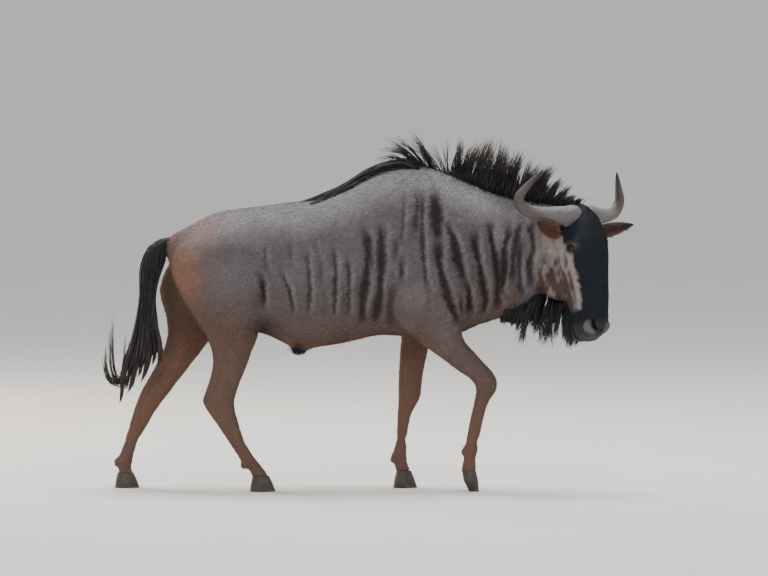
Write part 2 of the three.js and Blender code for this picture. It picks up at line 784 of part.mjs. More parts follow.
// The tail: a fleshy dock, long black locks from all round it, and a wisp that curls up behind
function tailSolid() {
  const rings = keysOf(dock, 45).map((z) => {
    const [, x, along, across] = rowAt(dock, z);
    return ringOf({
      centre: new THREE.Vector3(x, 0, z),
      side: new THREE.Vector3(0, 1, 0),
      up: new THREE.Vector3(1, 0, 0),
      half: across,
      rise: along,
      drop: along,
      count: 12,
    });
  });
  const parts = [solid(skinOver(rings))];
  const levels = 7;
  for (let level = 0; level < levels; level += 1) {
    const share = level / (levels - 1);
    const z = 1000 - 415 * share;
    const [, x, along, across] = rowAt(dock, z);
    const around = 5;
    for (let k = 0; k < around; k += 1) {
      const angle = ((k + (level % 2) * 0.5) / around) * 2 * Math.PI + draw(-0.2, 0.2);
      const outward = new THREE.Vector3(Math.cos(angle), Math.sin(angle) * 0.7, 0);
      const ahead = outward.x > 0.3;
      const spread = ahead ? 0.1 + 0.12 * share : 0.24 - 0.1 * share;
      const length = (150 + 70 * share) * draw(0.85, 1.1) * (ahead && share < 0.3 ? 0.75 : 1);
      const way = new THREE.Vector3(-0.04 - 0.2 * share * share, 0, -1)
        .addScaledVector(outward, spread);
      parts.push(lock({
        root: new THREE.Vector3(x + outward.x * along * 0.72, outward.y * across * 0.85, z),
        way,
        length,
        width: draw(38, 48),
        thick: 16,
        bend: new THREE.Vector3(-0.1 - 0.12 * share, 0, -0.02).addScaledVector(outward, -0.07),
        flat: new THREE.Vector3(-outward.y + 0.5, outward.x, 0),
        sink: 20,
      }));
    }
  }
  return parts;
}
// Long thin locks that leave the tassel low down and curl backwards and up
function tailWisps() {
  const wisps = [[-1106, 560], [-1084, 640], [-1070, 735]];
  return wisps.map(([x, z], k) => {
    const start = new THREE.Vector3(-985, (k - 1) * 7, 512);
    const path = new THREE.CatmullRomCurve3([
      start,
      new THREE.Vector3(-1030, (k - 1) * 8, 462),
      new THREE.Vector3(-1066 - k * 3, (k - 1) * 9, 476 + k * 8),
      new THREE.Vector3((x - 1078) / 2, (k - 1) * 10, (z + 505) / 2),
      new THREE.Vector3(x, (k - 1) * 10, z),
    ]);
    const count = 7;
    const rings = [];
    for (let i = 0; i <= count; i += 1) {
      const t = i / count;
      const radius = THREE.MathUtils.lerp(9, 1.2, t ** 0.7);
      const tangent = path.getTangent(t);
      const side = new THREE.Vector3(0, 1, 0);
      const up = new THREE.Vector3().crossVectors(side, tangent).normalize();
      rings.push(ringOf({
        centre: path.getPoint(t), side, up, half: radius * 1.3, rise: radius, drop: radius, count: 4,
      }));
    }
    return solid(skinOver(rings));
  });
}

// Where the parts meet: a point on each cut and the way to its far side
const cuts = {
  neck: { at: [342, 0, 1300], way: [0.995, 0, 0.0775] },
  jaw: { at: inHead(90, -104, 0).toArray(), way: headDirection(0.36, 1, 0).toArray() },
  foreLegs: { at: [300, 0, 637], way: [0, 0, -1] },
  hindLegs: { at: [-640, 0, 648], way: [0, 0, -1] },
  tail: { at: [-846, 0, 1040], way: [-1, 0, -0.2] },
  beard: { at: [768, 0, 700], way: [1, 0, 0] },
};
function beyond(name, gap = seam) {
  return halfSpace(cuts[name].at, cuts[name].way, gap / 2);
}
function before(name) {
  return halfSpace(cuts[name].at, cuts[name].way.map((v) => -v), seam / 2);
}
// The animal's left or right half, and everything ahead of or behind a place along it
function sideOf(sign) {
  return halfSpace([0, 0, 0], [0, sign, 0], seam / 2);
}
function aheadOf(x) {
  return halfSpace([x, 0, 0], [1, 0, 0]);
}
function behind(x) {
  return halfSpace([x, 0, 0], [-1, 0, 0]);
}
// The same solid with every corner moved out along its normal, for cutting a seat round it
function grow(body, by) {
  const geometry = geometryOf(body);
  geometry.computeVertexNormals();
  const p = geometry.attributes.position;
  const n = geometry.attributes.normal;
  for (let i = 0; i < p.count; i += 1) {
    p.setXYZ(i, p.getX(i) + n.getX(i) * by, p.getY(i) + n.getY(i) * by, p.getZ(i) + n.getZ(i) * by);
  }
  return solid(geometry);
}

const legs = {
  foreRight: leg(foreRightRows, -1, [398, 168]),
  foreLeft: leg(foreLeftRows, 1, [100, 122]),
  hindRight: leg(hindRightRows, -1, [-527, 112]),
  hindLeft: leg(hindLeftRows, 1, [-1066, 108]),
};
const flesh = joined([bodyAndNeck(), ...Object.values(legs)]).simplify(fleshSlack);
const headWhole = headSolid();

// Legs, cut off level with the belly
const foreBlock = (gap) => beyond('foreLegs', gap).intersect(aheadOf(60));
const hindBlock = (gap) => beyond('hindLegs', gap).intersect(behind(-380));
const legParts = {
  foreRight: largest(flesh.intersect(foreBlock(seam)).intersect(sideOf(-1))),
  foreLeft: largest(flesh.intersect(foreBlock(seam)).intersect(sideOf(1))),
  hindRight: largest(flesh.intersect(hindBlock(seam)).intersect(sideOf(-1))),
  hindLeft: largest(flesh.intersect(hindBlock(seam)).intersect(sideOf(1))),
};
// What is left of the flesh once the legs are off
const bodyAlone = flesh.subtract(foreBlock(-seam)).subtract(hindBlock(-seam));

const horns = { right: horn(1), left: horn(-1) };
const ears = { right: earSolid(1), left: earSolid(-1) };
const grownHorns = { right: grow(horns.right, seam), left: grow(horns.left, seam) };

// The head with its forelock and the hair of its jaw
const jawSide = joined([headWhole, ...foreLocks(), ...jawLocks()]).simplify(fleshSlack / 2)
  .intersect(aheadOf(cuts.beard.at[0] + seam));
let headPart = jawSide.intersect(beyond('jaw'));
for (const side of ['right', 'left']) headPart = headPart.subtract(grownHorns[side]);
headPart = largest(headPart);
for (const sign of [-1, 1]) headPart = headPart.subtract(eyeBall(sign, seam + 0.2));
const headGrown = grow(headPart, seam);

// The neck with its mane and the hair of its throat
const maneCut = cuts.neck.at[0];
const neckFlesh = bodyAlone.intersect(beyond('neck')).intersect(before('jaw'));
const neckHair = [...maneLocks(maneCut + 12, maneEnds[1]), ...throatLocks()];
let neckPart = joined([neckFlesh, ...neckHair]).simplify(fleshSlack / 2)
  .intersect(behind(cuts.beard.at[0]).add(halfSpace([0, 0, 910], [0, 0, 1])))
  .intersect(beyond('neck')).subtract(headGrown).subtract(grow(headWhole, seam));
for (const side of ['right', 'left']) neckPart = neckPart.subtract(grownHorns[side]);
neckPart = largest(neckPart);

// The body with the mane of its back
const torsoPart = largest(joined([bodyAlone, ...maneLocks(maneEnds[0], maneCut - 10)])
  .simplify(fleshSlack / 2).intersect(before('neck')));
const torsoGrown = grow(largest(bodyAlone.intersect(before('neck'))), seam);

// The tail, cut to fit round the rump and the legs
let tailPart = joined([...tailSolid(), ...tailWisps()]).simplify(fleshSlack / 2)
  .subtract(torsoGrown);
for (const one of Object.values(legParts)) tailPart = tailPart.subtract(grow(one, seam));
tailPart = largest(tailPart);

// An ear ends at the side of the head, and a horn in a seat that the head keeps for it
function earPart(side) {
  return largest(ears[side].subtract(headGrown).subtract(grownHorns[side])
    .subtract(grow(neckPart, seam)));
}

const colours = {
  coat: 0x7d7672,
  legs: 0x6b5648,
  black: 0x17191d,
  horn: 0x8c8a86,
  hoof: 0x1c1a19,
  eye: 0x1a0f0a,
  ear: 0x5f4a3e,
};
const group = new THREE.Group();
group.position.set(-middle.x, -middle.y, 0);
function add(name, body, colour, roughness = 0.8) {
  const material = new THREE.MeshStandardMaterial({ color: colour, roughness, metalness: 0 });
  const mesh = new THREE.Mesh(geometryOf(body.simplify(slack)), material);
  mesh.name = name;
  group.add(mesh);
}
add('torso', torsoPart, colours.coat);
add('neck', neckPart, colours.coat);
add('head', headPart, colours.black);
add('tail', tailPart, colours.black, 0.7);
const names = {
  foreRight: ['foreleg_right', 'hoof_fore_right', -97],
  foreLeft: ['foreleg_left', 'hoof_fore_left', 100],
  hindRight: ['hindleg_right', 'hoof_hind_right', -100],
  hindLeft: ['hindleg_left', 'hoof_hind_left', 100],
};
for (const [key, [legName, hoofName, middleOut]] of Object.entries(names)) {
  add(legName, legParts[key], colours.legs);
  add(hoofName, hoof(hooves[key], middleOut), colours.hoof, 0.5);
}
for (const [side, sign] of [['right', 1], ['left', -1]]) {
  add(`horn_${side}`, horns[side], colours.horn, 0.55);
  add(`ear_${side}`, earPart(side), colours.ear);
  add(`eye_${side}`, eyeBall(sign), colours.eye, 0.15);
}

export default group;
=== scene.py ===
import math
import bmesh
import bpy
import numpy as np
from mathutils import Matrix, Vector
from mathutils.bvhtree import BVHTree


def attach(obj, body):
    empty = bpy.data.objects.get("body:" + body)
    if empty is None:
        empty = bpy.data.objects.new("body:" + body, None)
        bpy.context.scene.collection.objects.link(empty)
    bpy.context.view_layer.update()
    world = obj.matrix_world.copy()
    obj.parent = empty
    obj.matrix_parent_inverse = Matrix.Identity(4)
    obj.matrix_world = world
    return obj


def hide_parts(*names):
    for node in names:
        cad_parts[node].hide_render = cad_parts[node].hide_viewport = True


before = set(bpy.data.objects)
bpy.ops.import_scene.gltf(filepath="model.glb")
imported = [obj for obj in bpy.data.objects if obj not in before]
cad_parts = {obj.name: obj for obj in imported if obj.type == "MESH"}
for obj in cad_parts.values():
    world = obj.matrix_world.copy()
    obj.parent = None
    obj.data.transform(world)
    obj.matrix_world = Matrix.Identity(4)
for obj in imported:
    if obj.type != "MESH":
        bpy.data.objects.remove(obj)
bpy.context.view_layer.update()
random = np.random.default_rng(41)
fullTurn = 2 * math.pi

# Sizes are in millimetres, as on a drawing of the animal, and become metres in place().
# x runs to the head, y to the animal's left, z up from the floor.
middle = np.array([-6.0, -33.0, 0.0])  # the point that stands at the origin of the frame
toMetres = 0.001


def place(points):
    return (np.asarray(points, float) - middle) * toMetres


# The body's own sizes
trunk = np.array([  # x, y, turn, top, bottom, half width, widest line, roundness above and below
    [-848, 0, 0, 1052, 990, 26, 0.5, 2.0, 2.0],
    [-838, 0, 0, 1062, 945, 52, 0.5, 2.0, 2.0],
    [-815, 0, 0, 1077, 872, 86, 0.52, 2.0, 2.0],
    [-785, 0, 0, 1093, 812, 114, 0.55, 2.0, 2.0],
    [-731, 0, 0, 1122, 758, 150, 0.58, 2.0, 2.0],
    [-647, 0, 0, 1163, 706, 178, 0.6, 2.1, 2.1],
    [-542, 0, 0, 1181, 676, 190, 0.58, 2.1, 2.1],
    [-437, 0, 0, 1194, 655, 198, 0.52, 2.0, 2.1],
    [-332, 0, 0, 1208, 610, 216, 0.47, 1.95, 2.1],
    [-281, 0, 0, 1214, 598, 224, 0.45, 1.9, 2.1],
    [-206, 0, 0, 1230, 603, 234, 0.44, 1.85, 2.1],
    [-80, 0, 0, 1276, 624, 240, 0.43, 1.75, 2.1],
    [-17, 0, 0, 1314, 640, 238, 0.43, 1.7, 2.1],
    [46, 0, 0, 1343, 651, 230, 0.43, 1.62, 2.1],
    [130, 0, 0, 1361, 647, 216, 0.42, 1.58, 2.05],
    [193, 0, 0, 1363, 643, 206, 0.42, 1.58, 2.05],
    [256, 0, 0, 1356, 643, 196, 0.42, 1.6, 2.0],
    [319, 0, 0, 1335, 645, 186, 0.42, 1.65, 2.0],
    [382, 0, 0, 1309, 658, 170, 0.43, 1.7, 1.95],
    [445, 0, 1, 1282, 687, 150, 0.45, 1.72, 1.9],
    [508, -1, 3, 1256, 708, 132, 0.47, 1.75, 1.9],
    [571, -3, 5, 1237, 727, 119, 0.48, 1.8, 1.9],
    [634, -8, 9, 1222, 754, 109, 0.5, 1.85, 1.9],
    [700, -19, 15, 1212, 790, 102, 0.5, 1.9, 1.9],
    [760, -37, 25, 1204, 842, 97, 0.5, 1.9, 2.0],
    [812, -64, 36, 1192, 905, 90, 0.5, 2.0, 2.0],
    [850, -95, 44, 1168, 962, 72, 0.5, 2.0, 2.0],
])
legs = {  # z, rear edge, front edge, distance from the middle, half thickness
    "foreRight": (-1, [
        [1000, 165, 340, 108, 40], [924, 132, 386, 124, 66], [840, 118, 391, 127, 77],
        [777, 117, 391, 126, 77], [714, 121, 388, 124, 74], [672, 150, 388, 126, 66],
        [630, 206, 401, 120, 58], [588, 265, 437, 116, 52], [546, 323, 475, 113, 46],
        [504, 378, 514, 111, 42], [475, 422, 531, 110, 40], [449, 443, 535, 109, 38],
        [420, 449, 528, 108, 35], [391, 444, 509, 107, 30], [357, 437, 493, 106, 26],
        [315, 427, 482, 104, 24], [260, 416, 469, 102, 23], [210, 405, 459, 100, 24],
        [172, 393, 456, 99, 28], [140, 398, 446, 98, 26], [112, 392, 447, 98, 30],
        [84, 388, 450, 97, 33]]),
    "foreLeft": (1, [
        [960, 150, 310, 104, 36], [900, 118, 326, 116, 56], [798, 118, 320, 124, 72],
        [722, 124, 300, 124, 70], [672, 130, 276, 124, 62], [630, 136, 259, 118, 52],
        [588, 132, 250, 114, 47], [538, 129, 238, 111, 42], [483, 126, 227, 109, 39],
        [428, 124, 219, 107, 38], [386, 124, 216, 106, 37], [349, 123, 198, 105, 32],
        [311, 120, 178, 104, 26], [260, 118, 166, 103, 23], [210, 115, 160, 102, 22],
        [168, 107, 157, 101, 25], [130, 97, 158, 100, 31], [98, 107, 163, 100, 27],
        [70, 115, 175, 100, 34]]),
    "hindRight": (-1, [
        [1060, -770, -570, 92, 44], [1020, -800, -520, 100, 66], [958, -827, -462, 110, 84],
        [882, -814, -426, 115, 96], [798, -777, -426, 117, 98], [735, -737, -436, 117, 90],
        [672, -695, -458, 116, 76], [630, -672, -472, 115, 65], [588, -657, -491, 114, 56],
        [538, -653, -508, 112, 48], [496, -660, -525, 111, 42], [454, -672, -542, 110, 38],
        [412, -687, -556, 109, 36], [382, -696, -564, 108, 37], [353, -685, -563, 107, 36],
        [323, -666, -557, 106, 33], [294, -645, -548, 105, 29], [260, -622, -539, 104, 26],
        [223, -597, -525, 103, 25], [185, -573, -507, 102, 25], [150, -549, -487, 101, 28],
        [115, -528, -459, 100, 32], [88, -501, -438, 100, 27], [63, -488, -420, 100, 34]]),
    "hindLeft": (1, [
        [1060, -770, -580, 92, 44], [1020, -800, -530, 100, 66], [958, -836, -500, 110, 84],
        [900, -868, -500, 114, 94], [840, -884, -515, 117, 96], [798, -880, -540, 117, 94],
        [756, -866, -572, 117, 88], [693, -853, -617, 116, 76], [651, -851, -651, 115, 66],
        [609, -859, -685, 114, 58], [567, -874, -716, 113, 51], [525, -895, -750, 112, 45],
        [483, -918, -781, 111, 40], [441, -943, -815, 110, 37], [407, -962, -840, 109, 37],
        [378, -974, -863, 108, 36], [344, -987, -888, 107, 33], [311, -998, -911, 106, 29],
        [273, -1009, -931, 105, 26], [231, -1022, -956, 104, 24], [189, -1034, -979, 103, 23],
        [147, -1050, -993, 102, 26], [110, -1064, -1000, 101, 31], [84, -1058, -1006, 100, 27],
        [60, -1062, -996, 100, 33]]),
}
hooves = {  # z, heel, toe, half width at the coronet, half way down and at the sole
    "foreRight": (-97, [[86, 388, 450, 33], [46, 394, 459, 37], [0, 418, 462, 27]]),
    "foreLeft": (100, [[72, 113, 178, 35], [36, 104, 194, 41], [0, 98, 206, 44]]),
    "hindRight": (-100, [[65, -491, -417, 35], [33, -498, -401, 39], [0, -503, -389, 42]]),
    "hindLeft": (100, [[62, -1065, -993, 34], [31, -1072, -978, 39], [0, -1077, -967, 42]]),
}
dewclaws = {"foreRight": (398, 168), "foreLeft": (100, 122), "hindRight": (-527, 112),
            "hindLeft": (-1066, 108)}
headAt = np.array([899.0, -130.0, 1176.0])  # between the roots of the horns
headTurn, headLean, headRoll = 48, 9, 2.5  # degrees: to the right, face out from upright, and tipped
headRows = np.array([  # down the face, front, back, half width, widest line, roundness front and back
    [-36, -22, -74, 24, -48, 2.0, 2.0],
    [-27, -4, -92, 42, -46, 2.0, 2.0],
    [-8, 18, -108, 59, -42, 2.0, 2.0],
    [20, 42, -122, 73, -38, 2.1, 2.0],
    [50, 57, -134, 81, -36, 2.2, 2.1],
    [80, 66, -144, 86, -34, 2.4, 2.1],
    [120, 78, -158, 91, -34, 2.5, 2.1],
    [155, 82, -170, 92, -36, 2.5, 2.1],
    [195, 86, -182, 89, -46, 2.5, 2.1],
    [235, 90, -188, 82, -56, 2.4, 2.1],
    [275, 92, -180, 73, -56, 2.4, 2.1],
    [320, 93, -156, 64, -46, 2.3, 2.1],
    [365, 91, -134, 57, -34, 2.3, 2.1],
    [410, 84, -118, 54, -22, 2.3, 2.1],
    [445, 74, -110, 56, -14, 2.3, 2.2],
    [472, 58, -107, 60, -14, 2.4, 2.2],
    [495, 44, -106, 63, -20, 2.5, 2.3],
    [515, 26, -104, 61, -30, 2.5, 2.3],
    [529, 6, -99, 54, -42, 2.4, 2.3],
    [538, -16, -90, 41, -52, 2.2, 2.2],
    [543, -36, -78, 22, -58, 2.0, 2.0],
])
eye = {"down": 155, "front": -8, "out": 73, "radius": 21, "way": (-0.08, 0.3, 0.95),
       "opening": (17.5, 10.5), "iris": (13.5, 10.5)}
nostril = {"down": 487, "front": 38, "out": 39, "way": (0.2, 0.62, 0.76), "opening": (13, 27)}
hornRows = np.array([  # down, front and out of each place on its middle line, and its radius
    [20, -10, 14, 20], [20, -13, 22, 38], [20, -20, 40, 47], [19, -28, 70, 46],
    [14, -38, 105, 38], [10, -54, 160, 31.5], [4, -68, 205, 28], [-8, -81, 248, 25.5],
    [-34, -88, 280, 23.5], [-66, -80, 288, 20.5], [-100, -60, 268, 16], [-132, -36, 243, 11],
    [-156, -16, 222, 6], [-170, -6, 212, 1.2]])
ear = {
    "root": (96, -70, 74), "way": (-0.19, 0.34, 0.92), "opening": (0.42, 0.86, -0.28),
    "length": 222, "wall": 5, "cup": 0.62,
    "widths": [(0, 19), (0.15, 27), (0.35, 34), (0.55, 33), (0.75, 24), (0.9, 12), (1, 2)],
}
dock = np.array([  # z, x, half width along and across
    [1062, -826, 16, 16], [1056, -842, 28, 26], [1038, -872, 34, 30], [1008, -898, 34, 30],
    [958, -912, 30, 27], [900, -922, 26, 24], [840, -930, 22, 21], [770, -934, 18, 17],
    [700, -936, 14, 13], [620, -942, 8, 8]])
maneRows = np.array([  # x, length of the hair, lean from upright
    [88, 160, -92], [151, 168, -80], [214, 188, -56], [265, 200, -27],
    [302, 205, -16], [328, 180, -9], [346, 165, 9], [365, 182, 16], [403, 195, 15],
    [466, 238, 10], [529, 222, 7], [592, 208, 10], [655, 188, 19], [718, 160, 27],
    [781, 116, 38], [832, 72, 50], [868, 50, 60]])

# Shapes from the tables


def rowsAt(rows, keys):
    # a smooth curve through a table's rows, read at each key of its first column
    rows = np.asarray(rows, float)
    if rows[0, 0] > rows[-1, 0]:
        rows = rows[::-1]
    keys = np.clip(np.atleast_1d(np.asarray(keys, float)), rows[0, 0], rows[-1, 0])
    i = np.clip(np.searchsorted(rows[:, 0], keys, side="right") - 1, 0, len(rows) - 2)
    slopes = np.gradient(rows, rows[:, 0], axis=0)
    span = (rows[i + 1, 0] - rows[i, 0])[:, None]
    t = ((keys - rows[i, 0])[:, None]) / span
    a, b = rows[i], rows[i + 1]
    return ((2 * t**3 - 3 * t**2 + 1) * a + (t**3 - 2 * t**2 + t) * span * slopes[i]
            + (3 * t**2 - 2 * t**3) * b + (t**3 - t**2) * span * slopes[i + 1])


def unit(v):
    v = np.asarray(v, float)
    return v / np.maximum(np.linalg.norm(v, axis=-1, keepdims=True), 1e-9)


def ringsOf(centre, side, up, half, rise, drop, above, below, count):
    # rounded rings about each centre, with their own roundness above and below
    angle = np.linspace(0, fullTurn, count, endpoint=False)
    c, s = np.cos(angle)[None, :], np.sin(angle)[None, :]
    power = np.where(s >= 0, 2 / above[:, None], 2 / below[:, None])
    across = half[:, None] * np.sign(c) * np.abs(c) ** power
    along = np.where(s >= 0, rise[:, None], drop[:, None]) * np.sign(s) * np.abs(s) ** power
    return (centre[:, None, :] + across[..., None] * side[:, None, :]
            + along[..., None] * up[:, None, :])


def skinOver(rings, closed=True):
    # four-sided faces from ring to ring, with a fan over each end
    n, m = rings.shape[:2]
    points = rings.reshape(-1, 3)
    faces = []
    for i in range(n - 1):
        for j in range(m):
            k = (j + 1) % m
            faces.append((i * m + j, i * m + k, (i + 1) * m + k, (i + 1) * m + j))
    if closed:
        ends = [rings[0].mean(0), rings[-1].mean(0)]
        points = np.vstack([points, ends])
        for j in range(m):
            k = (j + 1) % m
            faces.append((n * m, k, j))
            faces.append((n * m + 1, (n - 1) * m + j, (n - 1) * m + k))
    return points, faces


def joinShapes(shapes):
    points, faces, start = [], [], 0
    for p, f in shapes:
        points.append(p)
        faces += [tuple(i + start for i in face) for face in f]
        start += len(p)
    return np.vstack(points), faces


def dress(name, mesh, material=None, smoothFaces=True):
    if material:
        mesh.materials.append(material)
    mesh.polygons.foreach_set("use_smooth", [smoothFaces] * len(mesh.polygons))
    thing = bpy.data.objects.new(name, mesh)
    bpy.context.collection.objects.link(thing)
    return thing


def meshOf(name, points, faces, material=None, smoothFaces=False):
    mesh = bpy.data.meshes.new(name)
    mesh.from_pydata([tuple(p) for p in points], [], faces)
    mesh.update()
    return dress(name, mesh, material, smoothFaces)


def faceOutwards(mesh):
    work = bmesh.new()
    work.from_mesh(mesh)
    bmesh.ops.recalc_face_normals(work, faces=work.faces)
    work.to_mesh(mesh)
    work.free()


# The head's frame: down the face, out of the face and to the animal's right
turn, lean, roll = (math.radians(v) for v in (headTurn, headLean, headRoll))
heading = np.array([math.cos(turn), -math.sin(turn), 0.0])
faceDown = heading * math.sin(lean) - np.array([0, 0, math.cos(lean)])
faceOut = heading * math.cos(lean) + np.array([0, 0, math.sin(lean)])
faceRight = np.cross(heading, [0, 0, 1.0])


def turned(v, axis, angle):
    return (v * math.cos(angle) + np.cross(axis, v) * math.sin(angle)
            + axis * np.dot(axis, v) * (1 - math.cos(angle)))


faceDown, faceRight = (turned(v, faceOut, -roll) for v in (faceDown, faceRight))


def inHead(down, out, right):
    return (headAt + np.multiply.outer(down, faceDown) + np.multiply.outer(out, faceOut)
            + np.multiply.outer(right, faceRight))


def headWay(down, out, right):
    return unit(down * faceDown + out * faceOut + right * faceRight)


def headFrame(points):
    d = points - headAt
    return d @ faceDown, d @ faceOut, d @ faceRight


def facing(spot, sign, shift=0.0):
    outward = headWay(spot["way"][0], spot["way"][1], spot["way"][2] * sign)
    along = unit(faceOut - outward * np.dot(faceOut, outward))
    across = np.cross(outward, along)
    centre = inHead(spot["down"], spot["front"], spot["out"] * sign) + outward * shift
    return centre, along, across, outward


# The flesh
fleshSettings = {
    "ring": 72, "step": 16.0, "legRing": 36, "legStep": 16.0 / 1.5, "headRing": 80, "headStep": 8.0,
    "dockStep": 12.0, "dockRing": 24,
    "voxel": 12.9,  # side of a remeshing cube, in the stretched space
    "headZoom": 3.0,  # how much finer the skin is on the head
    "headMiddle": (250, -40, 0), "headReach": 330.0,
    "coatDepth": 2.5,  # the skin lies this far inside the solids
    "smoothing": 24, "creaseSmoothing": 10,
}
muscles = [  # x, distance from the middle, z, reach, push outwards
    [205, 190, 1080, 170, 16], [120, 200, 1180, 110, 10], [330, 175, 850, 120, 16],
    [60, 225, 940, 110, -14], [-380, 190, 830, 120, -16], [-430, 170, 1130, 90, 12],
    [-600, 170, 1040, 130, 10], [-740, 130, 1010, 90, 8], [450, 130, 1000, 120, 8],
    [560, 110, 870, 110, -8], [-150, 235, 780, 200, 8]]
bellyFold = ((-290, 0, 600), 60, (0, 0, -16))  # the hanging fold of skin: place, reach and push
headMuscles = [  # down, out, right, reach, way and push
    [132, 22, 84, 34, (0, 0.4, 1), 12], [182, 6, 80, 26, (0, 0, 1), -7],
    [215, -95, 78, 70, (0, 0, 1), 9], [300, 30, 60, 60, (0, 0, 1), -6],
    [488, 20, 55, 30, (0, 0.3, 1), 8], [470, -70, 52, 32, (0, 0, 1), 5]]
throatBall = ((806.0, -92, 862), (74, 60, 66))  # fills the bend between neck and jaw
dewclawShape = {"aside": 15, "radii": (12, 10, 19)}


def swell(points, places):
    moved = points.copy()
    for at, reach, by in places:
        away = np.linalg.norm(points - np.asarray(at), axis=1) / reach
        moved += np.exp(-2 * away**2)[:, None] * np.asarray(by)
    return moved


def bodyShape(s=fleshSettings):
    keys = np.arange(trunk[0, 0], trunk[-1, 0] + 1, s["step"])
    rows = rowsAt(trunk, keys)
    x, y, angle, top, bottom, half, wide, above, below = rows.T
    level = bottom + (top - bottom) * wide
    angle = np.radians(angle)
    side = np.stack([np.sin(angle), np.cos(angle), 0 * angle], 1)
    up = np.tile([0, 0, 1.0], (len(keys), 1))
    rings = ringsOf(np.stack([x, y, level], 1), side, up, half, top - level, level - bottom,
                    above, below, s["ring"])
    points, faces = skinOver(rings)
    places = [((mx, my * sign, mz), reach, (0, push * sign, 0))
              for mx, my, mz, reach, push in muscles for sign in (-1, 1)]
    places.append(bellyFold)
    return swell(points, places), faces


def legShape(sign, rows, s=fleshSettings):
    rows = np.array(rows, float)
    keys = np.arange(rows[:, 0].min(), rows[:, 0].max() + 1, s["legStep"])
    z, rear, front, out, half = rowsAt(rows, keys).T
    centre = np.stack([(rear + front) / 2, out * sign, z], 1)
    side = np.tile([0, 1.0, 0], (len(keys), 1))
    up = np.tile([1.0, 0, 0], (len(keys), 1))
    along = (front - rear) / 2
    return skinOver(ringsOf(centre, side, up, half, along, along, 0 * z + 2.2, 0 * z + 2,
                            s["legRing"]))


def ballShape(centre, axes, radii, around=16, high=10):
    down = np.linspace(0, math.pi, high + 1)[1:-1]
    turns = np.linspace(0, fullTurn, around, endpoint=False)
    a, b, c = (np.asarray(v, float) for v in axes)
    rings = np.array([[centre + a * radii[0] * math.sin(t) * math.cos(p)
                       + b * radii[1] * math.sin(t) * math.sin(p) + c * radii[2] * math.cos(t)
                       for p in turns] for t in down])
    points, faces = skinOver(rings)
    points[-2] = centre + c * radii[2]
    points[-1] = centre - c * radii[2]
    return points, faces


def headShape(s=fleshSettings):
    keys = np.arange(headRows[0, 0], headRows[-1, 0] + 1, s["headStep"])
    down, front, back, half, wide, ahead, behind = rowsAt(headRows, keys).T
    centre = inHead(down, wide, 0 * down)
    n = len(keys)
    rings = ringsOf(centre, np.tile(faceRight, (n, 1)), np.tile(faceOut, (n, 1)), half,
                    front - wide, wide - back, ahead, behind, s["headRing"])
    points, faces = skinOver(rings)
    places = []
    for sign in (-1, 1):
        for down, out, right, reach, way, push in headMuscles:
            places.append((inHead(down, out, right * sign), reach,
                           headWay(way[0], way[1], way[2] * sign) * push))
    return swell(points, places), faces


def warp(points, s=fleshSettings, back=False):
    # stretches the space about the head, so that one size of cube remeshes it finer
    centre = inHead(*s["headMiddle"])
    away = points - centre
    r = np.linalg.norm(away, axis=1, keepdims=True)
    reach, zoom = s["headReach"], s["headZoom"]
    edge = reach * zoom
    if back:
        new = np.where(r < edge, r / zoom, r - edge + reach)
    else:
        new = np.where(r < reach, r * zoom, r - reach + edge)
    return centre + away / np.maximum(r, 1e-6) * new


def edgesOf(mesh):
    edges = np.empty(len(mesh.edges) * 2, np.int32)
    mesh.edges.foreach_get("vertices", edges)
    return edges.reshape(-1, 2)


def pointsOf(mesh):
    points = np.empty(len(mesh.vertices) * 3, np.float32)
    mesh.vertices.foreach_get("co", points)
    return points.reshape(-1, 3).astype(float)


def normalsOf(mesh):
    normals = np.empty(len(mesh.vertices) * 3, np.float32)
    mesh.vertex_normals.foreach_get("vector", normals)
    return normals.reshape(-1, 3).astype(float)


def relax(points, edges, weight, rounds, sameVolume=True):
    # draws each point towards its neighbours, then back out by a little more to keep the volume
    inwards, backOut = 0.55, -0.57
    count = np.bincount(edges.ravel(), minlength=len(points)).astype(float)[:, None]
    first, second = edges.T
    for _ in range(rounds):
        for factor in ((inwards, backOut) if sameVolume else (inwards,)):
            total = np.zeros_like(points)
            for axis in range(3):
                total[:, axis] = (np.bincount(first, points[second, axis], len(points))
                                  + np.bincount(second, points[first, axis], len(points)))
            points = points + factor * weight[:, None] * (total / np.maximum(count, 1) - points)
    return points


def bump(distance, reach):
    return np.exp(-2 * (distance / reach) ** 2)


def ridge(value, width):
    return np.exp(-(value / width) ** 2)


def smooth(low, high, value):
    t = np.clip((value - low) / (high - low), 0, 1)
    return t * t * (3 - 2 * t)


def nostrilAt(points, sign):
    # 1 at the edge of the opening of the nose, a crescent that opens towards the front
    centre, along, across, outward = facing(nostril, sign, 3)
    d = points - centre
    u, v, w = d @ along - 6, d @ across, d @ outward
    wide, high = nostril["opening"]
    return np.sqrt(((u - 0.012 * v**2 + 2) / wide) ** 2 + (v / high) ** 2), u, np.abs(w) < 46


def mouthAt(down, out):
    # how far a place lies in front of the line between the lips
    return out + 78 - 34 * smooth(430, 545, down)


def sculptEye(points, sign):
    centre, along, across, outward = facing(eye, sign, 14)
    d = points - centre
    u, v, w = d @ along, d @ across, d @ outward
    wide, high = eye["opening"]
    shape = np.sqrt((u / wide) ** 2 + (v / high) ** 2)  # 1 at the edge of the opening
    push = -15 * (1 - smooth(0.75, 1.08, shape))  # socket
    push += 3.2 * ridge(shape - 1.42, 0.3)  # lids
    push += -2.2 * ridge(shape - 2.15, 0.3)  # fold round the lids
    push += -2 * ridge(np.hypot(u - 20, v), 8)  # corner of the eye
    return push * (np.abs(w) < 34)


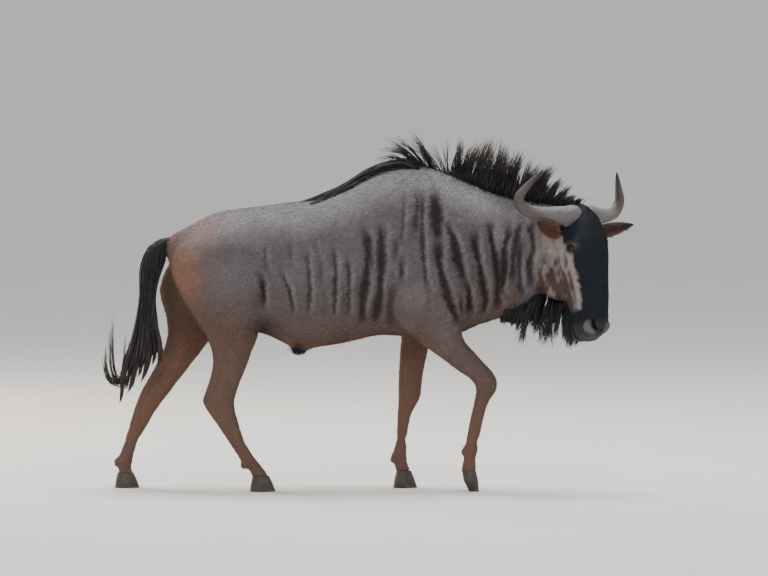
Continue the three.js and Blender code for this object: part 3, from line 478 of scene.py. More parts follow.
def sculptHead(points, normals):
    down, out, right = headFrame(points)
    side = np.abs(right)
    onHead = smooth(-30, 10, down) * smooth(-150, -110, out) * (side < 130)
    push = 5 * wingOn(points)
    for sign in (-1, 1):
        push += sculptEye(points, sign)
        shape, u, near = nostrilAt(points, sign)
        push += near * (-19 * (1 - smooth(0.7, 1.05, shape)))
        push += near * ridge(shape - 1.35, 0.32) * (4 - 0.09 * u)  # rim of the nostril
    # the line of the mouth, from its corner round the front of the lips
    mouth = mouthAt(down, out)
    lips = smooth(440, 470, down)
    push += -9 * ridge(mouth, 5.5) * smooth(418, 446, down)
    push += 4.5 * ridge(mouth - 14, 8) * lips  # upper lip
    push += 3.5 * ridge(mouth + 13, 8) * lips  # lower lip
    push += -3 * bump(np.hypot(down - 505, right), 16) * (out > 0)  # groove between the nostrils
    push += 3.5 * ridge(out - 6 + (down - 200) * 0.16, 9) * bump(down - 240, 90) * (side > 45)  # cheek bone
    push += -5 * bump(np.hypot(down - 95, out - 4), 42) * (side > 50)  # temple
    push += 3 * bump(np.hypot(down - 250, out + 120), 60) * (side > 40)  # edge of the jaw
    return points + normals * (push * onHead)[:, None]


# x and z on its line, slope, half width, middle and reach in z, least side, push, on the trunk only
slantForms = [
    [190, 1050, 0.28, 30, 1090, 200, 60, 9, True],  # spine of the shoulder blade
    [264, 1050, 0.28, 36, 1010, 190, 60, -8, True],  # hollow before it
    [112, 800, -0.1, 30, 830, 190, 90, -12, True],  # fold behind the elbow
    [-448, 800, -0.35, 24, 830, 120, 60, -15, False],  # fold of the flank
    [-705, 900, 0.5, 26, 900, 120, 90, -9, False],  # groove down the thigh
]
roundForms = [  # x, z, reach, least side, push, on trunk only
    [-470, 1140, 60, 60, 9, True],  # point of the hip
    [-600, 900, 120, 90, 9, False],  # thigh
    [195, 820, 90, 90, 9, False],  # upper arm
    [330, 760, 70, 70, 6, False],  # top of the forearm
    [285, 900, 50, 90, -6, False],  # hollow over it
]
legForms = {  # share of the way from rear to front edge, half width, level, reach, push, on the flanks only
    "fore": [[0.8, 0.2, 440, 46, 3, False], [0.55, 0.12, 560, 70, -5, True]],
    "hind": [[0.32, 0.11, 510, 95, -9, True], [0.7, 0.22, 400, 46, 3, False]],
}


def sculptTrunk(points):
    x, y, z = points.T
    side = np.abs(y)
    torso = smooth(-860, -780, x) * (1 - smooth(640, 760, x)) * (z > 560)
    neck = smooth(400, 470, x)
    stripes = stripesOn(points)
    ribs = np.sin((x + 0.16 * (z - 900)) / 62 * fullTurn)
    push = -3.4 * stripes * torso
    push += 2.2 * ribs * bump(x + 150, 240) * bump(z - 900, 230) * (side > 120) * torso
    for atX, atZ, slope, width, middleZ, reach, least, amount, only in slantForms:
        line = (x - atX) + (z - atZ) * slope
        form = ridge(line, width) * bump(z - middleZ, reach)
        push += amount * form * (side > least) * (torso if only else 1)
    for atX, atZ, reach, least, amount, only in roundForms:
        push += amount * bump(np.hypot(x - atX, z - atZ), reach) * (side > least) * (torso if only else 1)
    push += -4.5 * stripes * neck * (1 - smooth(740, 790, x)) * (side > 20)
    # folds that run down the neck
    folds = np.sin((x - 0.1 * (z - 950)) / 46 * fullTurn) + 0.5 * np.sin(x / 21 + z / 90)
    return push + 2.6 * folds * neck * (1 - smooth(700, 800, x)) * bump(z - 930, 210)


def sculptLeg(points, name):
    sign, rows = legs[name]
    x, y, z = points.T
    row = rowsAt(rows, np.clip(z, 60, 640))
    rear, front, out, half = row[:, 1], row[:, 2], row[:, 3], row[:, 4]
    low = (1 - smooth(560, 640, z)) * smooth(60, 110, z) * (y * sign > 0)
    share = (x - rear) / np.maximum(front - rear, 1)
    onFlank = smooth(0.25, 0.6, np.abs(y - out * sign) / half)
    cannon = (1 - smooth(330, 400, z)) * smooth(150, 190, z)
    push = -4.5 * ridge(share - 0.36, 0.11) * cannon * low * onFlank  # groove before the sinew
    for at, width, level, reach, amount, flankOnly in legForms[name[:4]]:
        form = ridge(share - at, width) * bump(z - level, reach)
        push += amount * form * low * (onFlank if flankOnly else 1)
    push += -3 * bump(z - 205, 26) * low * (share > 0.5)  # above the fetlock
    if name.startswith("hind"):  # groove before the point of the hock
        high = rowsAt(rows, np.clip(z, 60, 1000))
        line = high[:, 1] + (high[:, 2] - high[:, 1]) * 0.26
        push += -7 * ridge(x - line, 10) * bump(z - 450, 90) * (y * sign > 30) * (z < 640)
    return push


def sculptBody(points, normals):
    push = sculptTrunk(points) + sum(sculptLeg(points, name) for name in legs)
    return points + normals * push[:, None]


def buildSkin(s=fleshSettings):
    throatAt, throatRadii = throatBall
    shapes = [bodyShape(s), headShape(s), ballShape(np.array(throatAt), np.eye(3), throatRadii, 28, 18)]
    for name, (sign, rows) in legs.items():
        shapes.append(legShape(sign, rows, s))
        clawX, clawZ = dewclaws[name]
        out = rowsAt(rows, clawZ)[0, 3] * sign
        for way in (-1, 1):
            shapes.append(ballShape(np.array([clawX, out + way * dewclawShape["aside"], clawZ]),
                                    np.eye(3), dewclawShape["radii"]))
    keys = np.arange(dock[-1, 0], dock[0, 0] + 1, s["dockStep"])
    z, x, along, across = rowsAt(dock, keys).T
    up = np.tile([1.0, 0, 0], (len(keys), 1))
    side = np.tile([0, 1.0, 0], (len(keys), 1))
    shapes.append(skinOver(ringsOf(np.stack([x, 0 * x, z], 1), side, up, across, along, along,
                                   0 * z + 2, 0 * z + 2, s["dockRing"])))
    points, faces = joinShapes(shapes)
    body = meshOf("hide", warp(points, s), faces)
    faceOutwards(body.data)
    remesh = body.modifiers.new("remesh", "REMESH")
    remesh.mode = "VOXEL"
    remesh.voxel_size = s["voxel"]
    remesh.use_smooth_shade = True
    graph = bpy.context.evaluated_depsgraph_get()
    mesh = bpy.data.meshes.new_from_object(body.evaluated_get(graph))
    body.modifiers.clear()
    body.data = mesh
    edges = edgesOf(mesh)
    points = warp(pointsOf(mesh), s, back=True)
    # creases where the limbs and head leave the body are smoothed most
    x, _, z = points.T
    down, out, _ = headFrame(points)
    onFace = smooth(-60, 0, down) * smooth(-150, -60, out) * smooth(760, 800, x)
    onLeg = (1 - smooth(560, 660, z)) * (1 - onFace)
    weight = 0.95 - 0.75 * onFace - 0.55 * onLeg
    points = relax(points, edges, weight, s["smoothing"])
    crease = (1 - onFace) * (1 - onLeg) * smooth(560, 640, z)
    points = relax(points, edges, crease * 0.7, s["creaseSmoothing"], sameVolume=False)
    mesh.vertices.foreach_set("co", points.ravel())
    mesh.update()
    normals = normalsOf(mesh)
    depth = s["coatDepth"] * (1 - 0.6 * onFace - 0.4 * onLeg)
    points = points - normals * depth[:, None]
    points = sculptHead(points, normals)
    points = sculptBody(points, normals)
    points = relax(points, edges, 0.25 + 0 * x, 1)
    mesh.vertices.foreach_set("co", points.ravel())
    mesh.update()
    return body, points


# Where each colour lies
pictureStep = 4.2  # mm on the animal for each step of the stripes' places below
pictureFloor, pictureMiddle = 490, 369  # the steps that lie at z = 0 and x = 0
stripeLines = [  # width in steps, strength, then the places from the top down
    (2, 0.6, [(405, 192), (404, 204), (403, 220), (402, 237)]),
    (4, 0.8, [(398, 238), (397, 243), (396, 252)]),
    (5, 0.9, [(402, 256), (402, 276)]),
    (7, 0.6, [(395, 280), (392, 293), (391, 306), (393, 321)]),
    (5, 0.7, [(417, 190), (418, 207), (416, 219), (416, 232)]),
    (3.5, 0.8, [(423, 192), (422, 220), (423, 249), (425, 271), (427, 283)]),
    (9, 1.0, [(436, 189), (435, 196), (437, 220), (438, 237)]),
    (6.5, 1.0, [(438, 235), (439, 260), (443, 277), (449, 299), (457, 318)]),
    (7, 1.0, [(447, 220), (449, 228), (454, 237), (458, 260), (464, 278)]),
    (5, 1.0, [(464, 276), (469, 289), (470, 311)]),
    (3, 0.6, [(461, 290), (461, 310)]),
    (5.5, 1.0, [(474, 228), (475, 244), (480, 265), (484, 288), (486, 299), (483, 310)]),
    (5.5, 1.0, [(489, 220), (491, 237), (495, 255), (498, 277), (498, 299), (499, 312)]),
    (6, 0.95, [(507, 222), (508, 233), (504, 249), (504, 268), (501, 290)]),
    (5, 0.9, [(523, 220), (518, 229), (515, 249), (513, 258), (513, 279)]),
    (4.5, 0.8, [(520, 235), (519, 260), (520, 282), (522, 294)]),
    (5, 0.9, [(535, 218), (531, 228), (534, 248), (529, 260), (532, 284)]),
    (6.5, 0.95, [(365, 226), (368, 235), (369, 255), (366, 280), (363, 300), (363, 317)]),
    (2, 0.6, [(373, 240), (373, 266)]),
    (6.5, 0.95, [(381, 222), (382, 240), (382, 267), (380, 294), (376, 317)]),
    (2, 0.6, [(386, 220), (386, 240)]),
    (3.5, 0.8, [(334, 245), (337, 267), (336, 284), (335, 310)]),
    (3, 0.75, [(348, 254), (350, 270), (349, 308)]),
    (2, 0.5, [(345, 282), (344, 303)]),
    (3, 0.75, [(308, 250), (310, 272), (311, 288), (309, 308)]),
    (3, 0.9, [(282, 268), (286, 278), (291, 288), (294, 306)]),
    (5, 0.95, [(261, 271), (264, 283), (265, 292), (264, 304)]),
    (3, 0.5, [(268, 240), (266, 252), (268, 265)]),
    (4, 0.4, [(292, 240), (292, 256)]),
    (3, 0.4, [(322, 256), (322, 277)]),
]


def wave(points, size, shift=0.0):
    x, y, z = points.T / size
    return (np.sin(x * 2.1 + 1.3 * np.sin(z * 1.7 + shift))
            + np.sin(z * 2.7 + 1.1 * np.sin(x * 1.3 - shift))
            + np.sin((x + z) * 1.9 + 2.2 * np.sin(y * 1.1 + shift))) / 3


def trunkAt(x, column):
    return np.interp(x, trunk[:, 0], trunk[:, column])


trunkMiddle, trunkTop, trunkBottom = 1, 3, 4  # columns of the trunk's table


def stripesOn(points):
    # the right side as photographed; on the left the same stripes are shifted and bent a little
    x, y, z = points.T
    onLeft = y > 0
    shifted = x + np.where(onLeft, 22 + 14 * np.sin(z / 90), 0) + 3.5 * wave(points, 16)
    z = z + np.where(onLeft, 18 * np.sin(x / 130), 0) + 5 * wave(points, 23, 1.0)
    total = np.zeros(len(points))
    for width, strength, line in stripeLines:
        at = np.array(line, float)
        level = (pictureFloor - at[:, 1]) * pictureStep
        across = (at[:, 0] - pictureMiddle) * pictureStep
        order = np.argsort(level)
        lineX = np.interp(z, level[order], across[order])
        waver = 1 + 0.22 * np.sin(z / 31 + lineX[0] * 0.05)
        near = 1 - smooth(0.2, 1.05, np.abs(shifted - lineX) / (width * pictureStep * waver))
        lowEnd = smooth(level.min() - 40, level.min() + 30, z)
        highEnd = 1 - smooth(level.max() - 60, level.max() + 34, z)
        total = np.maximum(total, near * lowEnd * highEnd * strength)
    # faint fine lines between them
    faint = smooth(0.35, 1.0, np.sin(shifted / 11.5 + 1.6 * np.sin(z / 75) + 0.8 * wave(points, 40))
                   * (0.6 + 0.4 * wave(points, 70, 2)))
    reach = smooth(-360, -200, x) * (1 - smooth(700, 760, x))
    reach = reach * smooth(660, 800, z) * (1 - smooth(1080, 1230, z))
    total = np.maximum(total, 0.34 * faint * reach)
    return total * smooth(40, 80, np.abs(y - trunkAt(x, trunkMiddle)))  # none along the back


def wingOn(points):
    # the pale fold behind and below each nostril
    total = np.zeros(len(points))
    for sign in (-1, 1):
        centre, _, _, outward = facing(nostril, sign, 3)
        d = points - centre
        back, low = -(d @ faceOut), d @ faceDown
        depth = np.abs(d @ outward)
        ring = np.hypot((back - 4) / 25, (low - 5) / 34)
        middleLip = smooth(10, 30, np.abs(headFrame(points)[2]))
        total = np.maximum(total, middleLip * (1 - smooth(0.72, 1.32, ring))
                           * smooth(-22, 6, back + 0.6 * low) * (depth < 44))
    return total


def headMarks(points, mottle):
    # the black face, its edge on the cheek, and the paler places by the eye and nose
    x, y, z = points.T
    down, out, right = headFrame(points)
    onHead = smooth(-70, -30, down) * smooth(-210, -175, out) * smooth(740, 800, x)
    edge = 4 + 9 * smooth(120, 60, down) - 14 * smooth(360, 430, down)
    front = smooth(-11, 7, out - edge + mottle) + smooth(405, 440, down + mottle - 0.2 * out)
    black = onHead * np.clip(front, 0, 1)
    black = np.maximum(black, onHead * smooth(112, 84, down + mottle) * smooth(-84, -52, out))
    black = np.maximum(black, onHead * smooth(150, 118, down + mottle) * smooth(-56, -38, out + 0.3 * mottle))
    aroundEye = np.minimum(*(np.linalg.norm(points - facing(eye, sign, 14)[0], axis=1) for sign in (1, -1)))
    black = np.maximum(black, 0.86 * smooth(38, 20, aroundEye + 0.6 * mottle))
    tailRoot = smooth(-834, -850, x) * (np.abs(y) < 60) * smooth(600, 640, z)
    black = np.maximum(black, tailRoot)
    wing = wingOn(points) * onHead
    black = black * (1 - 0.62 * wing) * (1 - 0.2 * smooth(450, 490, down) * onHead)
    besideEye = bump(np.hypot(down - 146, out - 20), 26) * (np.abs(right) > 45) * onHead
    black = black * (1 - 0.42 * besideEye)
    return onHead, edge, black, wing, besideEye


def cheekMarks(points, mottle, onHead, edge, black):
    # pale hair on the cheek and on the neck behind it, with brown patches low down
    x, _, z = points.T
    down, out, _ = headFrame(points)
    nearHead = smooth(668, 748, x + mottle * 2) * smooth(742, 790, z) * (1 - smooth(1060, 1150, z))
    area = np.clip(np.maximum(onHead * (down < 440), nearHead), 0, 1) * (1 - black)
    tall = points * np.array([1.0, 1.0, 0.33])
    streaks = wave(tall, 17, 3) + 0.7 * wave(tall, 8) + 0.85 * smooth(1000, 850, z) - 0.12
    patches = smooth(-0.5, 0.9, streaks)
    stripEdge = onHead * smooth(-44, -22, out - edge)
    upper = smooth(930, 1040, z)
    cheek = area * np.clip(1 - patches * (1 - 0.85 * stripEdge) * (1 - 0.6 * upper), 0, 1)
    cheek = cheek * np.clip(0.62 + 0.5 * upper + 0.38 * stripEdge, 0, 1)
    rusty = area * patches * (1 - stripEdge) * (1 - 0.7 * upper)
    return nearHead, cheek, rusty


def marksOn(points):
    x, y, z = points.T
    down, out, _ = headFrame(points)
    mottle = wave(points, 13) * 5 + wave(points, 31, 2) * 4
    onHead, edge, black, wing, besideEye = headMarks(points, mottle)
    nearHead, cheek, rusty = cheekMarks(points, mottle, onHead, edge, black)
    stripe = np.maximum(stripesOn(points) * (1 - onHead) * (1 - 0.8 * nearHead), 0.5 * rusty)

    def spot(atX, atZ, reach, wide=1.0, high=1.0):
        return bump(np.hypot((x - atX) / wide, (z - atZ) / high), reach)

    def most(*shares):
        return np.maximum.reduce(shares)

    # brown on the legs, belly, thigh and wrists, and painted shade that browns the lower trunk
    aboveBelly = z - trunkAt(x, trunkBottom)
    onNearSide = y < 0
    forearm = spot(330, 650, 120) * onNearSide
    low = 1 - smooth(480, 790, z + 3 * mottle)
    belly = (1 - smooth(-10, 130, aboveBelly + mottle * 2)) * (z > 540) * (x < 640)
    thighLow = smooth(-480, -560, x) * (1 - smooth(660, 960, z))
    # painted shade: browner down the lower trunk
    shaded = (1 - smooth(0, 380, aboveBelly)) * (x < 640)
    brown = np.clip(most(0.85 * low, 0.9 * belly, 0.6 * thighLow, 0.55 * shaded), 0, 1)
    brown = brown * (1 - onHead) * (1 - 0.5 * forearm)
    hocks = (spot(-655, 450, 90, 1.2) + spot(480, 450, 70)) * onNearSide
    brown = most(brown, 0.95 * np.clip(hocks, 0, 1), rusty, besideEye) * (1 - wing)

    # painted sunlight, orange, on the rump and its top, on the rear edges of the hind legs and on the inner
    # sides of the legs; tan hair on the front of the forearms and the cannons
    sunlitHaunch = spot(-786, 905, 150, 0.9, 1.35) * smooth(-560, -700, x) * (0.8 + 0.3 * wave(points, 45, 5))
    foreLegs = (x > 60) & (z < 640)
    hindLegs = x < -400
    # painted sunlight along the rear edges of the hind legs
    sunlitRearEdge = hindLegs * (z < 660) * smooth(0.1, 0.9, wave(points, 60, 4))
    # painted sunlight on the inner sides of the legs
    sunlitInnerSide = (1 - smooth(92, 118, np.abs(y))) * (1 - smooth(600, 720, z)) * smooth(60, 240, z)
    warm = most(1.1 * sunlitHaunch, 0.4 * spot(-700, 1090, 120), 0.8 * foreLegs * (1 - smooth(300, 430, z)),
                0.5 * hindLegs * (1 - smooth(300, 640, z)), 0.5 * sunlitRearEdge, 0.95 * sunlitInnerSide)

    # paler along the back and the top of the neck, partly real and partly painted light from above; a painted
    # highlight on the shoulder; pale on the thigh and forearm; a painted highlight on the ridge before each
    # stripe
    back = bump(z - trunkAt(x, trunkTop) + 60, 120) * smooth(-860, -700, x) * (1 - smooth(470, 640, x))
    back = back * (0.74 + 0.26 * smooth(180, 380, x))
    neck = smooth(440, 560, x) * (1 - onHead) * bump(z - 1110, 150)
    # the shoulder's pale spot is a painted highlight
    shoulder, thigh = spot(190, 820, 110), spot(-570, 900, 190)
    # painted highlight on the ridge just before each stripe
    highlightBesideStripe = stripesOn(points - np.array([17.0, 0, 0])) * (1 - stripe) * smooth(650, 800, z)
    pale = most(back, 0.6 * neck, 0.5 * shoulder, 0.42 * thigh, 0.35 * forearm, 0.5 * highlightBesideStripe + 0.12)

    # painted shade, nearly black, in the nostrils, along the mouth, in the groin and on the hanging fold
    nostrilShade = np.zeros(len(points))
    for sign in (-1, 1):
        shape, _, near = nostrilAt(points, sign)
        nostrilShade = np.maximum(nostrilShade, near * (1 - smooth(0.6, 1.0, shape)))
    mouthShade = onHead * ridge(mouthAt(down, out), 6) * smooth(415, 446, down)
    groin = 0.5 * spot(-440, 690, 80, 1.0, 1 / 1.3) * (x < -330)
    groin = np.maximum(groin, 0.8 * spot(-296, 604, 34, 1.3))
    return {"stripe": stripe, "black": black, "brown": brown, "cheek": cheek,
            "warm": warm * (1 - onHead), "pale": np.clip(pale + 0.2 * wing, 0, 1),
            "deepShade": np.clip(groin + mouthShade + nostrilShade * onHead, 0, 1)}


markGroups = {"marksOne": ("stripe", "black", "brown"), "marksTwo": ("cheek", "warm", "pale")}


def giveVectors(mesh, name, values):
    layer = mesh.attributes.get(name) or mesh.attributes.new(name, "FLOAT_VECTOR", "POINT")
    layer.data.foreach_set("vector", np.ascontiguousarray(values, np.float32).ravel())


def giveNumbers(mesh, name, values):
    layer = mesh.attributes.get(name) or mesh.attributes.new(name, "FLOAT", "POINT")
    layer.data.foreach_set("value", np.ascontiguousarray(values, np.float32).ravel())


def giveMarks(mesh, points):
    marks = marksOn(points)
    for name, keys in markGroups.items():
        giveVectors(mesh, name, np.stack([marks[k] for k in keys], 1))
    giveNumbers(mesh, "deepShade", marks["deepShade"])


# Materials


class Wire:  # a socket that can stand in an expression

    def __init__(self, graph, socket):
        self.graph, self.socket = graph, socket

    def maths(self, operation, a, b):
        return self.graph.add("ShaderNodeMath", {"operation": operation}, {0: a, 1: b})

    def __add__(self, other):
        return self.maths("ADD", self, other)

    def __radd__(self, other):
        return self.maths("ADD", other, self)

    def __sub__(self, other):
        return self.maths("SUBTRACT", self, other)

    def __rsub__(self, other):
        return self.maths("SUBTRACT", other, self)

    def __mul__(self, other):
        return self.maths("MULTIPLY", self, other)

    def __rmul__(self, other):
        return self.maths("MULTIPLY", other, self)

    def __truediv__(self, other):
        return self.maths("DIVIDE", self, other)

    def __pow__(self, other):
        return self.maths("POWER", self, other)

    def clamped(self):
        return self.graph.add("ShaderNodeClamp", {}, {0: self, 1: 0.0, 2: 1.0})

    def __getitem__(self, name):
        return Wire(self.graph, self.socket.node.outputs[name])


class Graph:  # adds nodes to one tree

    def __init__(self, tree):
        self.tree = tree

    def feed(self, socket, value):
        if isinstance(value, Wire):
            self.tree.links.new(value.socket, socket)
        elif value is not None:
            socket.default_value = value

    def add(self, kind, settings, values, output=0):
        node = self.tree.nodes.new(kind)
        for name, value in settings.items():
            if name == "stops":
                ramp = node.color_ramp
                for i, (at, colour) in enumerate(value):
                    stop = ramp.elements[i] if i < 2 else ramp.elements.new(at)
                    stop.position, stop.color = at, colour
            else:
                setattr(node, name, value)
        for key, value in values.items():
            self.feed(node.inputs[key], value)
        return Wire(self, node.outputs[output]) if len(node.outputs) else None

    def mix(self, factor, a, b):
        return self.add("ShaderNodeMix", {"data_type": "RGBA"}, {0: factor, 6: a, 7: b}, 2)

    def shade(self, colour, amount):
        return self.add("ShaderNodeVectorMath", {"operation": "SCALE"}, {0: colour, 3: amount})

    def noise(self, where, scale, detail=3.0, rough=0.55):
        return self.add("ShaderNodeTexNoise", {}, {"Vector": where, "Scale": scale, "Detail": detail,
                                                   "Roughness": rough})

    def stretched(self, where, sizes):
        return self.add("ShaderNodeVectorMath", {"operation": "MULTIPLY"}, {0: where, 1: sizes})

    def read(self, name, output="Fac"):
        return self.add("ShaderNodeAttribute", {"attribute_name": name}, {}, output)

    def roughen(self, shader, height, strength, distance):
        bumps = self.add("ShaderNodeBump", {}, {"Strength": strength, "Distance": distance, "Height": height})
        self.feed(shader.inputs["Normal"], bumps)


def screenColour(r, g, b):
    # the colour as a screen shows it, in the light that the shader works in
    parts = [v / 255 for v in (r, g, b)]
    return tuple(p / 12.92 if p <= 0.04045 else ((p + 0.055) / 1.055) ** 2.4 for p in parts) + (1.0,)


coatTones = {
    "grey": screenColour(93, 87, 90),
    # paler hair, also used for painted light from above and painted highlights
    "pale": screenColour(146, 142, 145),
    "stripe": screenColour(42, 36, 35),
    "brown": screenColour(104, 81, 69),
    # tan hair, also used for painted sunlight
    "warm": screenColour(170, 119, 90),
    "black": screenColour(26, 30, 37),
    "cheekPale": screenColour(158, 146, 140),
    # painted shade
    "deepShade": screenColour(17, 14, 14),
}


def newMaterial(name, roughness, specular=0.3):
    material = bpy.data.materials.new(name)
    material.use_nodes = True
    graph = Graph(material.node_tree)
    shader = material.node_tree.nodes["Principled BSDF"]
    shader.inputs["Roughness"].default_value = roughness
    shader.inputs["Specular IOR Level"].default_value = specular
    where = graph.add("ShaderNodeTexCoord", {}, {}, "Object")
    return material, graph, shader, where


def coatMaterial(name, onTuft, tones=coatTones):
    material, graph, shader, where = newMaterial(name, 0.78, 0.22)
    # stripe, black and brown, then cheek, warm and pale; warm carries painted sunlight as well as tan hair,
    # pale carries painted light from above and painted highlights as well as paler hair
    first = graph.add("ShaderNodeSeparateXYZ", {}, {0: graph.read("marksOne", "Vector")})
    second = graph.add("ShaderNodeSeparateXYZ", {}, {0: graph.read("marksTwo", "Vector")})
    deepShade = graph.read("deepShade")
    broad = graph.noise(where, 6.0, 3.0)
    patches = graph.noise(graph.stretched(where, (1.0, 1.0, 1.6)), 34.0, 4.0, 0.65)
    fine = graph.noise(where, 210.0, 2.0)
    # paler hair, painted light from above and painted highlights
    colour = graph.mix((second["Z"] * 0.9 + broad * 0.5 - 0.25).clamped(), tones["grey"], tones["pale"])
    # tan hair and painted sunlight
    colour = graph.mix((second["Y"] * (0.55 + 0.6 * broad)).clamped(), colour, tones["warm"])
    colour = graph.mix((first["Z"] * (0.75 + 0.45 * patches)).clamped(), colour, tones["brown"])
    colour = graph.mix((second["X"] * (0.6 + 0.7 * patches)).clamped(), colour, tones["cheekPale"])
    colour = graph.mix((first["X"] * (0.72 + 0.5 * patches)).clamped(), colour, tones["stripe"])
    colour = graph.mix(first["Y"].clamped(), colour, tones["black"])
    # painted shade in the nostrils, along the mouth and in the groin
    colour = graph.mix(deepShade.clamped(), colour, tones["deepShade"])
    lightness = 0.72 + 0.34 * patches + 0.22 * fine
    if onTuft:
        lightness = lightness * (0.8 + 0.28 * graph.read("along")) * (0.84 + 0.32 * graph.read("vary"))
    graph.feed(shader.inputs["Base Color"], graph.shade(colour, lightness))
    if not onTuft:
        hair = graph.noise(graph.stretched(where, (1.0, 1.0, 2.2)), 320.0, 3.0, 0.7)
        graph.roughen(shader, hair, 0.5, 0.0016)
    graph.feed(shader.inputs["Roughness"], 0.66 + 0.2 * patches)
    return material


def hairMaterial(name, root, tip, fade=1.0):
    # a higher fade keeps the tip's colour nearer to the tip
    material, graph, shader, where = newMaterial(name, 0.5, 0.35)
    clump = graph.noise(where, 26.0, 3.0)
    colour = graph.mix((graph.read("along")**fade * 0.9 + clump * 0.5 - 0.25).clamped(), root, tip)
    lightness = (0.62 + 0.6 * graph.read("vary")) * (0.7 + 0.6 * clump)
    graph.feed(shader.inputs["Base Color"], graph.shade(colour, lightness))
    graph.feed(shader.inputs["Roughness"], 0.42 + 0.25 * clump)
    return material


skinMaterial = coatMaterial("shortCoatSkin", False)
tuftMaterial = coatMaterial("shortCoatTufts", True)
maneMaterial = hairMaterial("blackMane", screenColour(27, 28, 32), screenColour(92, 80, 72), 3.0)
beardMaterial = hairMaterial("blackBeard", screenColour(27, 28, 32), screenColour(54, 52, 55))
# black at the root, browner towards the ends: partly real colour, partly a painted sheen
tailMaterial = hairMaterial("blackTail", screenColour(40, 38, 41), screenColour(74, 68, 66))

# The hide, marked and unwrapped


def onLegs(points):
    return 1 - smooth(560, 680, points[:, 2])


def onFaceOf(points):
    down, out, _ = headFrame(points)
    return smooth(-70, -20, down) * smooth(-190, -150, out) * smooth(740, 800, points[:, 0])


def hairLie(points, normals):
    # which way the coat lies: back and down on the body, down the legs and the face
    x, y, z = points.T
    face, leg = onFaceOf(points)[:, None], onLegs(points)[:, None]
    neck = smooth(350, 600, x)[:, None]
    trunkWay = np.stack([-1 + 0 * x, 0.25 * np.sign(y), -0.35 - 0.5 * bump(z - 800, 200)], 1)
    neckWay = np.stack([-0.75 + 0 * x, 0 * x, -0.7 + 0 * x], 1)
    way = trunkWay * (1 - neck) + neckWay * neck
    way = way * (1 - leg) + np.array([-0.12, 0, -1.0]) * leg
    _, out, _ = headFrame(points)
    front = smooth(-20, 40, out)[:, None]
    faceWay = faceDown * (0.9 * front + 0.35) - faceOut * 0.9 * (1 - front)
    way = way * (1 - face) + faceWay * face
    swirl = np.stack([wave(points, 60, shift) for shift in (1, 2, 3)], 1)
    way = unit(way) + 0.22 * swirl
    return unit(way - normals * np.sum(way * normals, 1, keepdims=True))


def bareOn(points, face):
    # 1 on the bare skin: round the eyes, in the nostrils and on the lips
    bare = np.zeros(len(points))
    for sign in (-1, 1):
        for spot, reach in ((eye, 24), (nostril, 30)):
            away = np.linalg.norm(points - facing(spot, sign, 8)[0], axis=1)
            bare = np.maximum(bare, 1 - smooth(reach * 0.75, reach * 1.15, away))
    return np.maximum(bare, face * smooth(500, 530, headFrame(points)[0]))


def dressHide(hide, points):
    mesh = hide.data
    mesh.materials.clear()
    mesh.materials.append(skinMaterial)
    giveMarks(mesh, points)
    giveVectors(mesh, "lie", hairLie(points, normalsOf(mesh)))
    face = onFaceOf(points)
    leg = onLegs(points) * (1 - face)
    giveNumbers(mesh, "tuftSize", 1 - 0.55 * face - 0.3 * leg)
    giveNumbers(mesh, "tuftShare", (1 + 1.6 * face + 0.9 * leg) * (1 - bareOn(points, face)))
    bpy.context.view_layer.objects.active = hide
    hide.select_set(True)
    bpy.ops.object.mode_set(mode="EDIT")
    bpy.ops.mesh.select_all(action="SELECT")
    bpy.ops.uv.smart_project(angle_limit=math.radians(70), island_margin=0.002)
    bpy.ops.object.mode_set(mode="OBJECT")
    mesh.uv_layers.active.name = "rootUv"
    mesh.vertices.foreach_set("co", place(points).ravel())
    mesh.update()


hide, hidePoints = buildSkin()
print("hide", len(hide.data.vertices), "points", len(hide.data.polygons), "faces")
dressHide(hide, hidePoints)
print("hide unwrapped")

# Short coat, one tree of nodes
coatSettings = {
    "density": 10150.0,  # tufts for each square metre of flank in one piece
    "length": 0.0127, "width": 0.0022, "flatness": 0.45, "lift": 0.2, "uneven": 0.35,
    "pieces": 6, "firstSeed": 17, "seedStep": 29,
}


